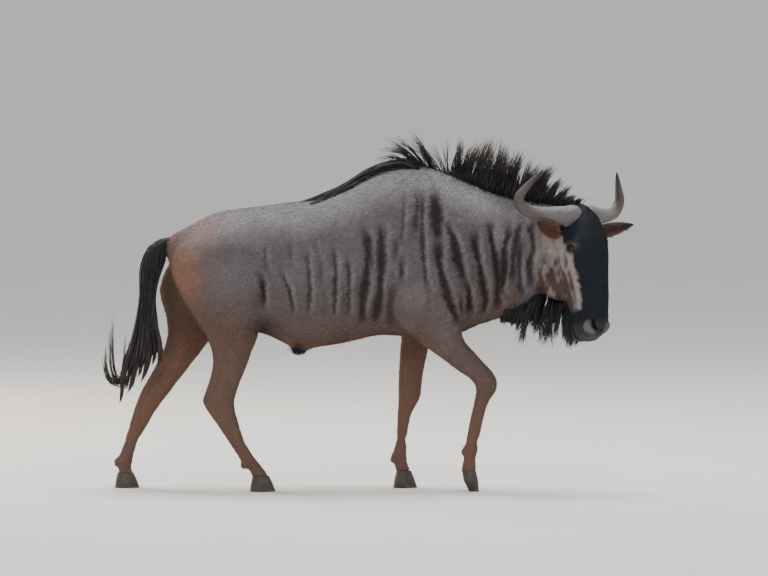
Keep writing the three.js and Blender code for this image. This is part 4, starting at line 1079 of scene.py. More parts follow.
def coatTree(s=coatSettings):
    tree = bpy.data.node_groups.new("shortCoat", "GeometryNodeTree")
    sizes = [(key.capitalize(), "NodeSocketFloat", s[key])
             for key in ("density", "length", "width", "flatness", "lift", "uneven")]
    for name, kind, value in [("Hide", "NodeSocketGeometry", None)] + sizes + [
            ("Seed", "NodeSocketInt", 1), ("Finish", "NodeSocketMaterial", None)]:
        socket = tree.interface.new_socket(name, in_out="INPUT", socket_type=kind)
        if value is not None:
            socket.default_value = value
    tree.interface.new_socket("Coat", in_out="OUTPUT", socket_type="NodeSocketGeometry")
    graph = Graph(tree)
    given = graph.add("NodeGroupInput", {}, {})

    def named(name, kind="FLOAT"):
        return graph.add("GeometryNodeInputNamedAttribute", {"data_type": kind}, {"Name": name}, "Attribute")

    def stored(geometry, name, value, kind="FLOAT"):
        return graph.add("GeometryNodeStoreNamedAttribute", {"data_type": kind, "domain": "POINT"},
                         {"Geometry": geometry, "Name": name, "Value": value})

    def chance(low, high, salt, kind="FLOAT"):
        node = graph.add("FunctionNodeRandomValue", {"data_type": kind}, {}, 0).socket.node
        lowest, highest, result = {"FLOAT": (2, 3, 1), "FLOAT_VECTOR": (0, 1, 0)}[kind]
        graph.feed(node.inputs[lowest], low)
        graph.feed(node.inputs[highest], high)
        graph.feed(node.inputs["Seed"], given["Seed"] + salt)
        return Wire(graph, node.outputs[result])

    def summed(a, b):
        return graph.add("ShaderNodeVectorMath", {"operation": "ADD"}, {0: a, 1: b})

    points = graph.add("GeometryNodeDistributePointsOnFaces", {"distribute_method": "RANDOM"},
                       {"Mesh": given["Hide"], "Density": given["Density"] * named("tuftShare"),
                        "Seed": given["Seed"]})
    normal = points["Normal"]
    # one tuft is a closed cone with three sides
    cone = graph.add("GeometryNodeMeshCone", {"fill_type": "NGON"},
                     {"Vertices": 3, "Side Segments": 1, "Radius Top": 0.0,
                      "Radius Bottom": given["Width"], "Depth": given["Length"]})
    height = graph.add("ShaderNodeSeparateXYZ", {}, {0: graph.add("GeometryNodeInputPosition", {}, {})})["Z"]
    tuft = stored(cone, "along", height / given["Length"])
    # it lies along the coat, a little astray and raised
    stray = graph.shade(chance((-1.0, -1.0, -1.0), (1.0, 1.0, 1.0), 7, "FLOAT_VECTOR"), given["Uneven"])
    raised = graph.shade(normal, given["Lift"] * chance(0.4, 1.6, 11))
    way = graph.add("ShaderNodeVectorMath", {"operation": "NORMALIZE"},
                    {0: summed(summed(named("lie", "FLOAT_VECTOR"), stray), raised)})
    aligned = graph.add("FunctionNodeAlignRotationToVector", {"axis": "Z"}, {"Vector": way})
    aligned = graph.add("FunctionNodeAlignRotationToVector", {"axis": "Y", "pivot_axis": "Z"},
                        {"Rotation": aligned, "Vector": normal})
    size = named("tuftSize") * chance(0.7, 1.3, 5)
    shape = graph.add("ShaderNodeCombineXYZ", {}, {0: size, 1: size * given["Flatness"], 2: size})
    roots = stored(points["Points"], "root", graph.add("GeometryNodeInputPosition", {}, {}), "FLOAT_VECTOR")
    roots = stored(roots, "vary", chance(0.0, 1.0, 3))
    tufts = graph.add("GeometryNodeInstanceOnPoints", {},
                      {"Points": roots, "Instance": tuft, "Rotation": aligned, "Scale": shape})
    whole = graph.add("GeometryNodeRealizeInstances", {}, {"Geometry": tufts})
    whole = graph.add("GeometryNodeSetMaterial", {}, {"Geometry": whole, "Material": given["Finish"]})
    graph.add("NodeGroupOutput", {}, {0: whole})
    return tree


def makeCoat(s=coatSettings):
    tree = coatTree(s)
    sockets = {item.name: item.identifier for item in tree.interface.items_tree
               if item.in_out == "INPUT"}
    made = []
    for number in range(s["pieces"]):
        bearer = bpy.data.objects.new("coat_%d" % (number + 1), hide.data.copy())
        bpy.context.collection.objects.link(bearer)
        work = bearer.modifiers.new("coat", "NODES")
        work.node_group = tree
        work[sockets["Seed"]] = s["firstSeed"] + number * s["seedStep"]
        work[sockets["Finish"]] = tuftMaterial
        graph = bpy.context.evaluated_depsgraph_get()
        grown = bpy.data.meshes.new_from_object(bearer.evaluated_get(graph))
        bearer.modifiers.clear()
        bearer.data = grown
        root = np.empty(len(grown.vertices) * 3, np.float32)
        grown.attributes["root"].data.foreach_get("vector", root)
        giveMarks(grown, root.reshape(-1, 3).astype(float) / toMetres + middle)
        layTuftUv(grown)
        for name in ("root", "lie", "tuftSize", "tuftShare", "rootUv"):
            if name in grown.attributes:
                grown.attributes.remove(grown.attributes[name])
        made.append(bearer)
    return made


def layTuftUv(grown, patch=0.003):
    # each tuft is a small patch at its root's place on the hide's own unwrap
    kept = grown.attributes["rootUv"]
    count = len(kept.data)
    uv = np.empty(count * 2, np.float32)
    kept.data.foreach_get("vector", uv)
    uv = uv.reshape(-1, 2)
    corner = np.empty(len(grown.loops), np.int32)
    grown.loops.foreach_get("vertex_index", corner)
    if kept.domain == "POINT":
        uv = uv[corner]
    along = np.empty(len(grown.vertices), np.float32)
    grown.attributes["along"].data.foreach_get("value", along)
    around = (corner % 4) / 4.0
    shifted = uv + patch * np.stack([around - 0.4, along[corner] - 0.5], 1)
    layer = grown.uv_layers.new(name="OFBake")
    layer.data.foreach_set("uv", np.clip(shifted, 0, 1).astype(np.float32).ravel())


coats = makeCoat()
print("coat", [len(c.data.polygons) for c in coats])

# Long hair: mane, beard, tail, forelock and the hair in the ears
hideTree = BVHTree.FromObject(hide, bpy.context.evaluated_depsgraph_get())
hideUv = np.empty(len(hide.data.loops) * 2, np.float32)
hide.data.uv_layers["rootUv"].data.foreach_get("uv", hideUv)
hideUv = hideUv.reshape(-1, 2)
hideFirst = np.empty(len(hide.data.polygons), np.int32)  # each face's first corner
hide.data.polygons.foreach_get("loop_start", hideFirst)


def settle(paths, reach=42.0, bury=3.5):
    # moves each hair so that its root sits just under the hide
    settled = paths.copy()
    for i, root in enumerate(place(paths[:, 0])):
        spot, normal, _, away = hideTree.find_nearest(Vector(root))
        if away < reach * toMetres:
            settled[i] += (np.array(spot) - root) / toMetres - np.array(normal) * bury
    return settled


strandShape = {"flat": 0.4, "root": 0.55, "swell": 3, "tip": 2.4, "tipCurve": 0.8, "patch": 0.003}


def bladePoints(paths, widths, s=strandShape):
    # three corners at each place but the last, where the blade comes to a point
    count, places = paths.shape[:2]
    ahead = unit(np.gradient(paths, axis=1))
    hint = unit(random.normal(size=(count, 1, 3)) + np.array([0, 0.6, 0]))
    side = unit(np.cross(ahead, hint))
    over = np.cross(ahead, side)
    t = np.linspace(0, 1, places)
    taper = np.minimum(1, s["root"] + t * s["swell"]) * (1 - t ** s["tip"]) ** s["tipCurve"]
    width = np.asarray(widths, float).reshape(-1, 1, 1) * taper[None, :, None]
    corners = [paths + side * width, paths + over * width * s["flat"], paths - side * width]
    ring = np.stack([corner[:, :-1] for corner in corners], 2)
    return np.concatenate([ring.reshape(count, -1, 3), paths[:, -1:]], 1), t


def bladeFaces(count, places, size):
    # the corners of all four-sided faces, and of the tips' and roots' three-sided ones
    last = (places - 2) * 3
    quads = np.array([(i + j, i + (j + 1) % 3, i + 3 + (j + 1) % 3, i + 3 + j)
                      for i in range(0, last, 3) for j in range(3)])
    ends = np.array([(last + j, last + (j + 1) % 3, size - 1) for j in range(3)] + [(2, 1, 0)])
    start = (np.arange(count) * size)[:, None, None]
    return (quads[None] + start).reshape(-1, 4), (ends[None] + start).reshape(-1, 3)


def strandMesh(name, paths, widths, material, s=strandShape):
    # paths: strands by places along each, in mm; each strand is a closed flat blade with three sides
    paths = np.asarray(paths, float)
    count, places = paths.shape[:2]
    points, t = bladePoints(paths, widths)
    size = points.shape[1]
    quads, ends = bladeFaces(count, places, size)
    corners = np.concatenate([quads.ravel(), ends.ravel()])
    firsts = np.concatenate([np.arange(len(quads)) * 4, len(quads) * 4 + np.arange(len(ends)) * 3])
    blade = bpy.data.meshes.new(name)
    blade.vertices.add(count * size)
    blade.vertices.foreach_set("co", place(points.reshape(-1, 3)).astype(np.float32).ravel())
    blade.loops.add(len(corners))
    blade.loops.foreach_set("vertex_index", corners.astype(np.int32))
    blade.polygons.add(len(firsts))
    blade.polygons.foreach_set("loop_start", firsts.astype(np.int32))
    blade.update(calc_edges=True)
    blade.validate()
    faceOutwards(blade)
    along = np.concatenate([np.repeat(t[:-1], 3), [1.0]])
    giveNumbers(blade, "along", np.tile(along, count))
    giveNumbers(blade, "vary", np.repeat(random.random(count), size))
    # each strand is a small patch at its root's place on the hide's unwrap
    found = [hideTree.find_nearest(Vector(root))[2] for root in place(paths[:, 0])]
    corner = np.empty(len(blade.loops), np.int32)
    blade.loops.foreach_get("vertex_index", corner)
    inStrand = corner % size
    shift = np.stack([(np.minimum(inStrand, size - 2) % 3) / 3 - 0.33, along[inStrand] - 0.5], 1)
    uv = hideUv[hideFirst[found]].astype(float)[corner // size] + s["patch"] * shift
    layer = blade.uv_layers.new(name="OFBake")
    layer.data.foreach_set("uv", np.clip(uv, 0, 1).astype(np.float32).ravel())
    return dress(name, blade, material)


def bentPaths(roots, firstWay, lastWay, lengths, places, stray=0.1):
    # each hair leaves its root along firstWay and turns towards lastWay
    count = len(roots)
    t = np.linspace(0, 1, places)[None, :, None]
    step = unit(unit(firstWay)[:, None, :] * (1 - t) + unit(lastWay)[:, None, :] * t)
    wander = random.normal(size=(count, 1, 3)) * stray
    phase = random.random((count, 1, 3)) * 6.3
    step = step + wander * t + 0.12 * np.sin(t * 7 + phase) * t
    steps = step[:, :-1] * (np.asarray(lengths)[:, None, None] / (places - 1))
    return np.concatenate([roots[:, None, :], roots[:, None, :] + np.cumsum(steps, 1)], 1)


maneSettings = {
    "start": 226.0, "end": 866,  # along the back, of the upright mane
    "perLock": 42, "foot": 1300, "backHairs": 1100, "archedHairs": 110,
    "places": 8, "width": 2.4, "sideways": 15,
    "backTips": [[-325.0, -10], [-252, -66], [-210, -46]],  # along the back, and to the side
    "wisps": [  # root, bow and tip of each, as x and z
        ((243, 1372), (176, 1468), (98, 1505)), ((206, 1376), (140, 1466), (37, 1445)),
        ((168, 1374), (108, 1444), (13, 1397)), ((222, 1376), (170, 1450), (72, 1478)),
        ((268, 1366), (226, 1470), (190, 1512))],
}


def topOf(x):
    # height and middle of the back, and its turn
    row = rowsAt(trunk, x)
    return row[:, 3], row[:, 1], row[:, 2]


def sleekHairs(s=maneSettings):
    # the mane of the back lies flat behind the shoulder and ends in three pointed locks
    n = s["backHairs"]
    t = np.linspace(0, 1, s["places"])[None, :]
    tips = np.array(s["backTips"])
    start = 236 - 400 * random.random(n) ** 1.15
    tip = tips[np.where(start > -60, random.integers(0, len(tips), n), 0)]
    reach = np.minimum(random.uniform(150, 330, n), start - tip[:, 0])
    end = np.where(random.random(n) < 0.3, tip[:, 0], start - reach)
    x = start[:, None] + (end - start)[:, None] * t
    near = smooth(150, 0, x - tip[:, :1])  # 1 where the hair has come to the point of its lock
    side = random.normal(size=n)[:, None] * (14 - 9 * near) - 14 + (tip[:, 1:] + 14) * near
    thick = np.interp(x, [-330, -262, -190, -100, -20, 80, 150, 200, 240],
                      [2, 6, 18, 30, 36, 34, 36, 30, 10])
    top, y, _ = (v.reshape(x.shape) for v in topOf(x.ravel()))
    layer = random.random((n, 1)) * smooth(0, 0.3, t) * (1 - 0.8 * smooth(0.6, 1, t))
    z = top + thick * layer + 4 * smooth(0, 0.2, t) - 6
    return np.stack([x, y + side, z - side**2 / 300], 2)


def archedHairs(s=maneSettings):
    # thin hairs that rise from the shoulder and bow backwards
    t = np.linspace(0, 1, s["places"])[:, None]
    paths = []
    for k in range(s["archedHairs"]):
        (rootX, rootZ), (bowX, bowZ), (tipX, tipZ) = s["wisps"][k % len(s["wisps"])]
        aside = random.normal() * 10
        root = np.array([rootX + 9 * random.normal(), aside * 0.6, rootZ - 8])
        bow = np.array([bowX + 7 * random.normal(), aside, bowZ + 7 * random.normal()])
        share = random.uniform(0.6, 1.0)
        tip = root * (1 - share) + np.array([tipX, aside * 1.6, tipZ]) * share
        tip = tip + random.normal(size=3) * 5
        paths.append(root * (1 - t) ** 2 + 2 * bow * t * (1 - t) + tip * t**2)
    return np.array(paths)


def maneLock(x, s=maneSettings):
    # the hairs of one pointed lock: they start apart and draw together towards its tip
    _, tall, lean = rowsAt(maneRows, x)[0]
    lying = float(smooth(250, 120, x))  # how far the lock lies back on the shoulder
    sparse = float(1 - smooth(335, 372, x))
    length = tall * (random.uniform(0.9, 1.14) if random.random() < 0.84 else random.uniform(0.55, 0.85))
    tilt = math.radians(lean + random.normal() * (4 + 5 * (1 - lying)))
    heading = math.radians(float(topOf(x)[2][0]))
    n = int(s["perLock"] * (1 - 0.62 * sparse + 0.7 * lying))
    spread = random.normal(size=n) * s["sideways"] * (0.45 + 1.5 * lying)
    xs = x + random.normal(size=n) * (9 + 10 * lying)
    tops, ys, _ = topOf(xs)
    lift = tops - 6 - spread**2 / 250 * (1 - 0.3 * lying)
    roots = np.stack([xs, ys + spread - 16 * lying, lift], 1)
    out = random.normal() * 0.07 * (1 - lying)
    curl = random.uniform(0.1, 0.5) * (-1 if lean < -12 else 1) * (1 - lying)

    def way(angle, aside):
        return np.stack([np.sin(angle) * math.cos(heading),
                         aside - np.sin(angle) * math.sin(heading), np.cos(angle)], 1)

    fan = random.normal(size=n) * (0.05 + 0.05 * sparse)
    lengths = length * random.uniform(0.3, 1.0, n) ** 0.45
    first = way(tilt * 0.8 - (xs - x) / 260 + fan, out + spread / 190)
    together = 2.2 * out - spread / 120 * (1 - lying) - 0.14 * lying
    last = way(tilt * 1.12 + curl - (xs - x) / 105 + fan * 1.5, together)
    paths = bentPaths(roots, first, last, lengths, s["places"], 0.03)
    widths = s["width"] * random.uniform(0.4, 0.95, n) * (1 - 0.2 * sparse)
    return paths, widths, random.uniform(8, 15) * (1 + 0.5 * sparse)


def maneFoot(s=maneSettings):
    # low hair between the locks makes the dark foot of the mane
    n = s["foot"]
    ahead = int(n * 0.9)
    xs = np.concatenate([random.uniform(330, 862, ahead), random.uniform(200, 330, n - ahead)])
    tops, ys, turns = topOf(xs)
    spread = random.normal(size=n) * 13
    roots = np.stack([xs, ys + spread, tops - 5 - spread**2 / 250], 1)
    lean = np.radians(rowsAt(maneRows, xs)[:, 2]) + random.normal(size=n) * 0.1
    aside = spread / 70 - np.sin(lean) * np.sin(np.radians(turns))
    way = np.stack([np.sin(lean), aside, np.cos(lean)], 1)
    tall = np.interp(xs, [200, 300, 380, 480, 640, 780, 862], [30, 16, 34, 74, 78, 56, 30])
    paths = bentPaths(roots, way, way, tall * random.uniform(0.5, 1.15, n), s["places"], 0.05)
    return paths, s["width"] * random.uniform(0.6, 1.2, n)


def maneHairs(s=maneSettings):
    back, arcs = sleekHairs(s), archedHairs(s)
    paths = [back, arcs]
    widths = [s["width"] * random.uniform(0.6, 1.1, len(back)),
              s["width"] * random.uniform(0.4, 0.7, len(arcs))]
    x = s["start"]
    while x < s["end"]:
        lockPaths, lockWidths, step = maneLock(x, s)
        paths.append(lockPaths)
        widths.append(lockWidths)
        x += step
    footPaths, footWidths = maneFoot(s)
    return np.concatenate(paths + [footPaths]), np.concatenate(widths + [footWidths])


beardSettings = {
    "throatHairs": 2500, "locks": 15, "start": 556, "end": 818,
    "jawHairs": 1300, "jawLocks": 14, "jawStart": 362, "jawEnd": 508,  # down the face
    "places": 8, "width": 2.3, "loose": 0.34,  # share of short hair between the pointed locks
}


def throatHairs(s=beardSettings):
    n, locks = s["throatHairs"], s["locks"]
    lock = random.integers(0, locks, n)
    lockX = 566 + 268 * (np.arange(locks) + 0.5) / locks + random.normal(size=locks) * 5
    lockLong = random.uniform(0.55, 1.1, locks)
    x = np.clip(lockX[lock] + random.normal(size=n) * 13, s["start"], s["end"])
    loose = random.random(n) < s["loose"]
    x = np.where(loose, random.uniform(560, 822, n), x)
    row = rowsAt(trunk, x)
    middleY, bottom = row[:, 1], row[:, 4]
    y = middleY + random.normal(size=n) * 20
    z = np.minimum(bottom + 7 + np.abs(y - middleY) ** 2 / 140, 806 + 10 * random.random(n))
    long = np.interp(x, [556, 590, 640, 700, 760, 812, 840], [38, 66, 132, 200, 214, 204, 196])
    lengths = long * np.where(loose, 0.62, lockLong[lock]) * random.uniform(0.5, 1.0, n) ** 0.6
    down = np.full(n, -1.0)
    first = np.stack([np.full(n, -0.3), (y - middleY) / 60, down], 1)
    drawn = np.where(loose, 0, (lockX[lock] - x) / 34)
    last = np.stack([-0.16 + drawn, (middleY - y) / 60, down], 1)
    return bentPaths(np.stack([x, y, z], 1), first, last, lengths, s["places"], 0.06)


def jawHairs(s=beardSettings):
    n, locks = s["jawHairs"], s["jawLocks"]
    lock = random.integers(0, locks, n)
    lockDown = np.linspace(372, 500, locks)
    down = np.clip(lockDown[lock] + random.normal(size=n) * 11, s["jawStart"], s["jawEnd"])
    back = rowsAt(headRows, down)[:, 2]
    right = random.normal(size=n) * 20
    roots = inHead(down, back + 9 + right**2 / 130, right)
    long = np.interp(down, [300, 400, 455, 480, 505], [160, 132, 124, 108, 40])
    lengths = long * random.uniform(0.45, 1.08, locks)[lock] * random.uniform(0.5, 1.0, n) ** 0.6
    aside = faceRight * (right / 60)[:, None]
    drawn = np.array([1.0, 0, 0]) * ((lockDown[lock] - down) / 60)[:, None]
    first = faceDown * 0.9 - faceOut + aside
    last = np.array([-0.14, 0, -1.0]) - aside + drawn
    return bentPaths(roots, first, last, lengths, s["places"], 0.06)


def beardHairs(s=beardSettings):
    paths = np.concatenate([throatHairs(s), jawHairs(s)])
    return paths, s["width"] * random.uniform(0.6, 1.3, len(paths))


tailSettings = {
    "hairs": 2900, "wisps": 120, "places": 12, "width": 3.2,
    "lockEdges": [0.16, 0.27, 0.45, 0.55, 0.72, 0.86],  # across the tail, from 0 to 1
    "lockMiddles": [0.08, 0.22, 0.36, 0.5, 0.64, 0.79, 0.93],
    "lockRises": [-6, 34, 4, 46, 10, 52, 20],  # how far each ends above the lowest
    "wispTips": [(-1075, 748), (-1105, 632), (-1113, 590), (-1025, 672), (-1088, 690), (-1012, 640)],
}
tailOutline = np.array([  # z, left and right edge of the hanging hair
    [1067, -886, -836], [1008, -949, -844], [958, -962, -853], [903, -968, -874], [840, -966, -892],
    [777, -970, -897], [714, -981, -888], [651, -995, -876], [588, -1016, -863], [538, -1037, -865],
    [483, -1050, -880], [428, -1052, -911], [386, -1050, -970], [344, -1056, -1042]])


def tailBrush(s=tailSettings):
    # hair round the dock that fills the outline and gathers in locks towards its end
    n, places = s["hairs"], s["places"]
    top = 640 + 422 * random.random(n) ** 0.8
    u = random.random(n)
    v = random.normal(size=n) * 0.42
    end = 352 + 150 * u**1.3 + 60 * random.random(n) + np.abs(v) * 45
    short = random.random(n) < 0.24
    end = np.where(short, end + random.uniform(40, 230, n), end)
    lock = np.searchsorted(np.array(s["lockEdges"]), u)
    lockMiddle = np.array(s["lockMiddles"])[lock]
    end = np.minimum(end + np.array(s["lockRises"])[lock], top - 90)
    t = np.linspace(0, 1, places)[None, :]
    z = top[:, None] * (1 - t) + end[:, None] * t
    left, right = (np.interp(z, tailOutline[::-1, 0], tailOutline[::-1, k]) for k in (1, 2))
    dockRow = rowsAt(dock, np.clip(z.ravel(), 620, 1062))  # the flesh inside the hair
    dockX, dockHalf = (dockRow[:, k].reshape(z.shape) for k in (1, 2))
    wavy = 4 * np.sin(t * 9 + random.random((n, 1)) * 6.3) * t
    gather = smooth(0.45, 1.0, t)
    spread = u[:, None] * (1 - 0.6 * gather) + lockMiddle[:, None] * 0.6 * gather
    inside = left + 4 + (right - left - 8) * spread
    blend = smooth(0.0, 0.22, t)  # 0 on the dock, 1 in the hanging hair
    startX = dockX + (u[:, None] - 0.5) * 2.1 * dockHalf
    x = startX * (1 - blend) + inside * blend + wavy
    thick = 22 + 26 * smooth(1000, 620, z) - 22 * smooth(520, 350, z)
    roundness = np.sqrt(np.clip(1 - (u[:, None] * 2 - 1) ** 2, 0.1, 1))
    startY = np.sign(v[:, None]) * roundness * dockHalf
    y = startY * (1 - blend) + v[:, None] * thick * blend + wavy * 0.7
    return np.stack([x, y, z], 2)


def tailWisps(s=tailSettings):
    # thin hairs that leave the lower end and curl up behind it
    t = np.linspace(0, 1, s["places"])[:, None]
    wisps = []
    for i in range(s["wisps"]):
        tipX, tipZ = s["wispTips"][i % len(s["wispTips"])]
        first = np.array([-1022 + 22 * random.normal(), 6 * random.normal(), 468 + 18 * random.normal()])
        second = np.array([(tipX - 1022) / 2 - 26, 5 * random.normal(), 418 + 8 * random.normal()])
        third = np.array([tipX - 6 + 4 * random.normal(), 6 * random.normal(), 440 + (tipZ - 440) * 0.3])
        last = np.array([tipX + 5 * random.normal(), 8 * random.normal(), tipZ - 90 * random.random() ** 2])
        wisps.append(first * (1 - t) ** 3 + 3 * second * t * (1 - t) ** 2
                     + 3 * third * t**2 * (1 - t) + last * t**3)
    return np.array(wisps)


def tailHairs(s=tailSettings):
    paths = np.concatenate([tailBrush(s), tailWisps(s)])
    widths = np.concatenate([0.6 + 0.8 * random.random(s["hairs"]), 0.3 + 0.25 * random.random(s["wisps"])])
    return paths, s["width"] * widths


faceHairSettings = {"hairs": 1300, "places": 6, "width": 1.7}


def faceHairs(s=faceHairSettings):
    # the black tuft on the forehead and the longer hair down the bridge of the nose
    n = s["hairs"]
    down = np.concatenate([random.uniform(-20, 120, n // 2), random.uniform(110, 400, n - n // 2)])
    right = random.normal(size=n) * np.interp(down, [-20, 60, 150, 400], [26, 30, 24, 15])
    rows = rowsAt(headRows, down)
    front, half = rows[:, 1], rows[:, 3]
    roots = inHead(down, front - 5 - np.clip(right / half, -1, 1) ** 2 * 14, right)
    long = np.interp(down, [-20, 40, 100, 160, 400], [34, 34, 20, 9, 5])
    lengths = long * (0.6 + 0.7 * random.random(n))
    first = (faceOut * 0.2 + faceDown * 1.0) + faceRight * (right / 70)[:, None]
    last = np.tile(faceDown * 1.0 - faceOut * 0.12, (n, 1)) + random.normal(size=(n, 3)) * 0.1
    paths = bentPaths(roots, first, last, lengths, s["places"], 0.08)
    return paths, s["width"] * (0.6 + 0.7 * random.random(n))


bellyTuftSettings = {"hairs": 420, "places": 8, "width": 1.8, "x": -296, "z": 596, "length": 27}


def bellyTuft(s=bellyTuftSettings):
    n = s["hairs"]
    x = s["x"] + random.normal(size=n) * 16
    y = random.normal(size=n) * 12
    roots = np.stack([x, y, s["z"] + np.abs(y) * 0.4], 1)
    first = np.tile([-0.25, 0, -1.0], (n, 1))
    last = np.tile([-0.55, 0, -1.0], (n, 1)) + random.normal(size=(n, 3)) * 0.15
    lengths = s["length"] * (0.5 + 0.7 * random.random(n))
    paths = bentPaths(roots, first, last, lengths, s["places"], 0.1)
    return paths, s["width"] * (0.6 + 0.6 * random.random(n))


longHair = {
    "mane": (maneHairs, maneMaterial), "beard": (beardHairs, beardMaterial),
    "tail_hair": (tailHairs, tailMaterial), "face_hair": (faceHairs, beardMaterial),
    "belly_tuft": (bellyTuft, beardMaterial)}
hair = {}
for name, (grow, material) in longHair.items():
    paths, widths = grow()
    if name != "tail_hair":  # the tail's hair already starts on the dock
        paths = settle(paths)
    hair[name] = strandMesh(name, paths, widths, material)
    print(name, len(hair[name].data.polygons), "faces")

# Horns, ears, eyes and hooves
hornSettings = {"rings": 150, "around": 40, "growthGap": 9.5}  # mm from one growth ring to the next


def hornMaterialOf(sign):
    material, graph, shader, where = newMaterial("horn" + ("Right" if sign > 0 else "Left"), 0.42, 0.4)
    along = graph.read("along")
    grain = graph.noise(where, 60.0, 5.0, 0.6)
    fine = graph.noise(graph.stretched(where, (1.0, 1.0, 3.0)), 260.0, 3.0)
    colour = graph.add("ShaderNodeValToRGB", {"stops": [
        (0.0, screenColour(88, 84, 84)), (0.34, screenColour(101, 97, 98)),
        (0.56, screenColour(84, 72, 65)), (0.8, screenColour(66, 60, 58)),
        (1.0, screenColour(22, 20, 21))]}, {"Fac": along + grain * 0.22 - 0.11})
    graph.feed(shader.inputs["Base Color"], graph.shade(colour, 0.62 + 0.5 * grain + 0.22 * fine))
    graph.feed(shader.inputs["Roughness"], 0.62 - 0.22 * along + 0.15 * fine)
    graph.roughen(shader, fine + grain, 0.4, 0.0012)
    return material


def sweep(centres, radii, around, ridges):
    # rings round a bent line that don't twist about it
    ahead = unit(np.gradient(centres, axis=0))
    side = np.zeros_like(centres)
    side[0] = unit(np.cross(ahead[0], [0.3, 0.2, 1.0]))
    for i in range(1, len(centres)):
        side[i] = unit(side[i - 1] - ahead[i] * np.dot(side[i - 1], ahead[i]))
    over = np.cross(ahead, side)
    angle = np.linspace(0, fullTurn, around, endpoint=False)
    radius = radii[:, None] * np.ones(around)[None, :] + ridges(angle)
    return (centres[:, None] + (radius * np.cos(angle))[..., None] * side[:, None]
            + (radius * np.sin(angle))[..., None] * over[:, None])


def hornPiece(name, sign, s=hornSettings):
    at = np.linspace(0, len(hornRows) - 1, s["rings"])
    table = np.column_stack([np.arange(len(hornRows)), hornRows])
    down, front, out, radii = rowsAt(table, at)[:, 1:].T
    centres = inHead(down, front, out * sign)
    length = np.concatenate([[0], np.cumsum(np.linalg.norm(np.diff(centres, axis=0), axis=1))])
    share = length / length[-1]
    shift = 3.0 * sign

    def ridges(angle):
        base = smooth(0.5, 0.08, share)[:, None]
        rings = np.sin(length[:, None] / s["growthGap"] * fullTurn + 0.7 * np.sin(angle * 2 + shift))
        knobs = np.sin(angle * 5 + length[:, None] / 23 + shift) * np.sin(length[:, None] / 17 + angle * 2)
        return base * (0.4 * rings + 1.5 * knobs) + 0.25 * np.sin(angle * 7 + share[:, None] * 9)

    points, faces = skinOver(sweep(centres, radii, s["around"], ridges))
    thing = meshOf(name, place(points), faces, hornMaterialOf(sign))
    faceOutwards(thing.data)
    giveNumbers(thing.data, "along", np.concatenate([np.repeat(share, s["around"]), [0, 1]]))
    return thing


def earMaterialOf():
    material, graph, shader, where = newMaterial("earHide", 0.75, 0.2)
    along = graph.read("along")
    patches = graph.noise(where, 50.0, 4.0)
    fine = graph.noise(where, 330.0, 3.0)
    # painted sunlight, orange, near the root of the outer side; the ear's own brown towards the tip
    outer = graph.mix((along * 0.8 + patches * 0.8 - 0.4).clamped(), screenColour(150, 96, 70),
                      screenColour(78, 58, 50))
    # grey on the rims, and over the left ear's outer side, which has no painted sunlight
    outer = graph.mix((graph.read("rim") * (0.7 + 0.5 * patches)).clamped(), outer,
                      screenColour(112, 96, 88))
    # painted shade in the cup
    colour = graph.mix((graph.read("inner") * (0.75 + 0.4 * patches)).clamped(), outer,
                       screenColour(50, 38, 35))
    colour = graph.mix((along * 2.2 - 1.5).clamped(), colour, screenColour(26, 24, 25))
    graph.feed(shader.inputs["Base Color"], graph.shade(colour, 0.6 + 0.5 * patches + 0.3 * fine))
    graph.roughen(shader, fine, 0.5, 0.001)
    return material


earMaterial = earMaterialOf()
earSettings = {"rings": 44, "around": 25}  # places along, and across each side of the wall


def earFrame(sign):
    down, out, right = ear["root"]
    root = inHead(down, out, right * sign)
    ahead = headWay(ear["way"][0], ear["way"][1], ear["way"][2] * sign)
    opening = headWay(ear["opening"][0], ear["opening"][1], ear["opening"][2] * sign)
    opening = unit(opening - ahead * np.dot(opening, ahead))
    return root, ahead, opening, np.cross(ahead, opening)


def earPiece(name, sign, s=earSettings):
    root, ahead, opening, across = earFrame(sign)
    share = np.linspace(0, 1, s["rings"])
    half = np.interp(share, *np.array(ear["widths"], float).T)
    half = np.convolve(np.pad(half, 2, mode="edge"), np.ones(5) / 5, "valid")
    half[-1] = 1.5
    half = half * (0.62 + 0.38 * smooth(0, 0.16, share))  # drawn in where it leaves the head
    around = np.linspace(-1, 1, s["around"])
    wall = ear["wall"] * (1 - 0.6 * share)
    rings = []
    for i, t in enumerate(share):
        centre = root + ahead * ear["length"] * t - opening * 10 * math.sin(t * 2.6) * 0.6
        bowl = ear["cup"] * (1.25 - 0.7 * t)
        angle = around * (0.5 * math.pi) * (0.95 - 0.1 * t)
        lip = 1 - 0.25 * smooth(0.2, 0.0, t)
        sides = np.sin(angle)[:, None] * across * half[i]
        depth = (np.cos(angle) * half[i] * bowl * 1.35)[:, None] * -opening
        outer = centre + sides + depth
        inner = centre + sides * 0.9 * lip + depth * 0.72 + opening * wall[i] * 0.3
        rings.append(np.concatenate([outer, inner[::-1]]))
    points, faces = skinOver(np.array(rings))
    thing = meshOf(name, place(points), faces, earMaterial)
    faceOutwards(thing.data)
    giveNumbers(thing.data, "along", np.concatenate([np.repeat(share, 2 * s["around"]), [0, 1]]))
    # painted shade darkens the cup towards its middle; the ear in the sun gets less of it
    bowlShade = (1 - np.abs(around[::-1]) ** 2.4) * (1.0 if sign < 0 else 0.72)
    # pale hair on the rims of both ears, and grey over the left ear's whole outer side, which is shaded, in
    # place of the painted sunlight
    paleRimAndShadedSide = np.maximum(smooth(0.1, 0.6, np.abs(around)), 0.85 * (sign < 0))
    for key, outerShade, innerShade in (("inner", 0 * around, bowlShade), ("rim", paleRimAndShadedSide, 0 * around)):
        shades = np.tile(np.concatenate([outerShade, innerShade]), s["rings"])
        giveNumbers(thing.data, key, np.concatenate([shades, [0, 0]]))
    return thing


earHairSettings = {"hairs": 420, "places": 6, "width": 0.8, "length": 10}  # hairs along each ear


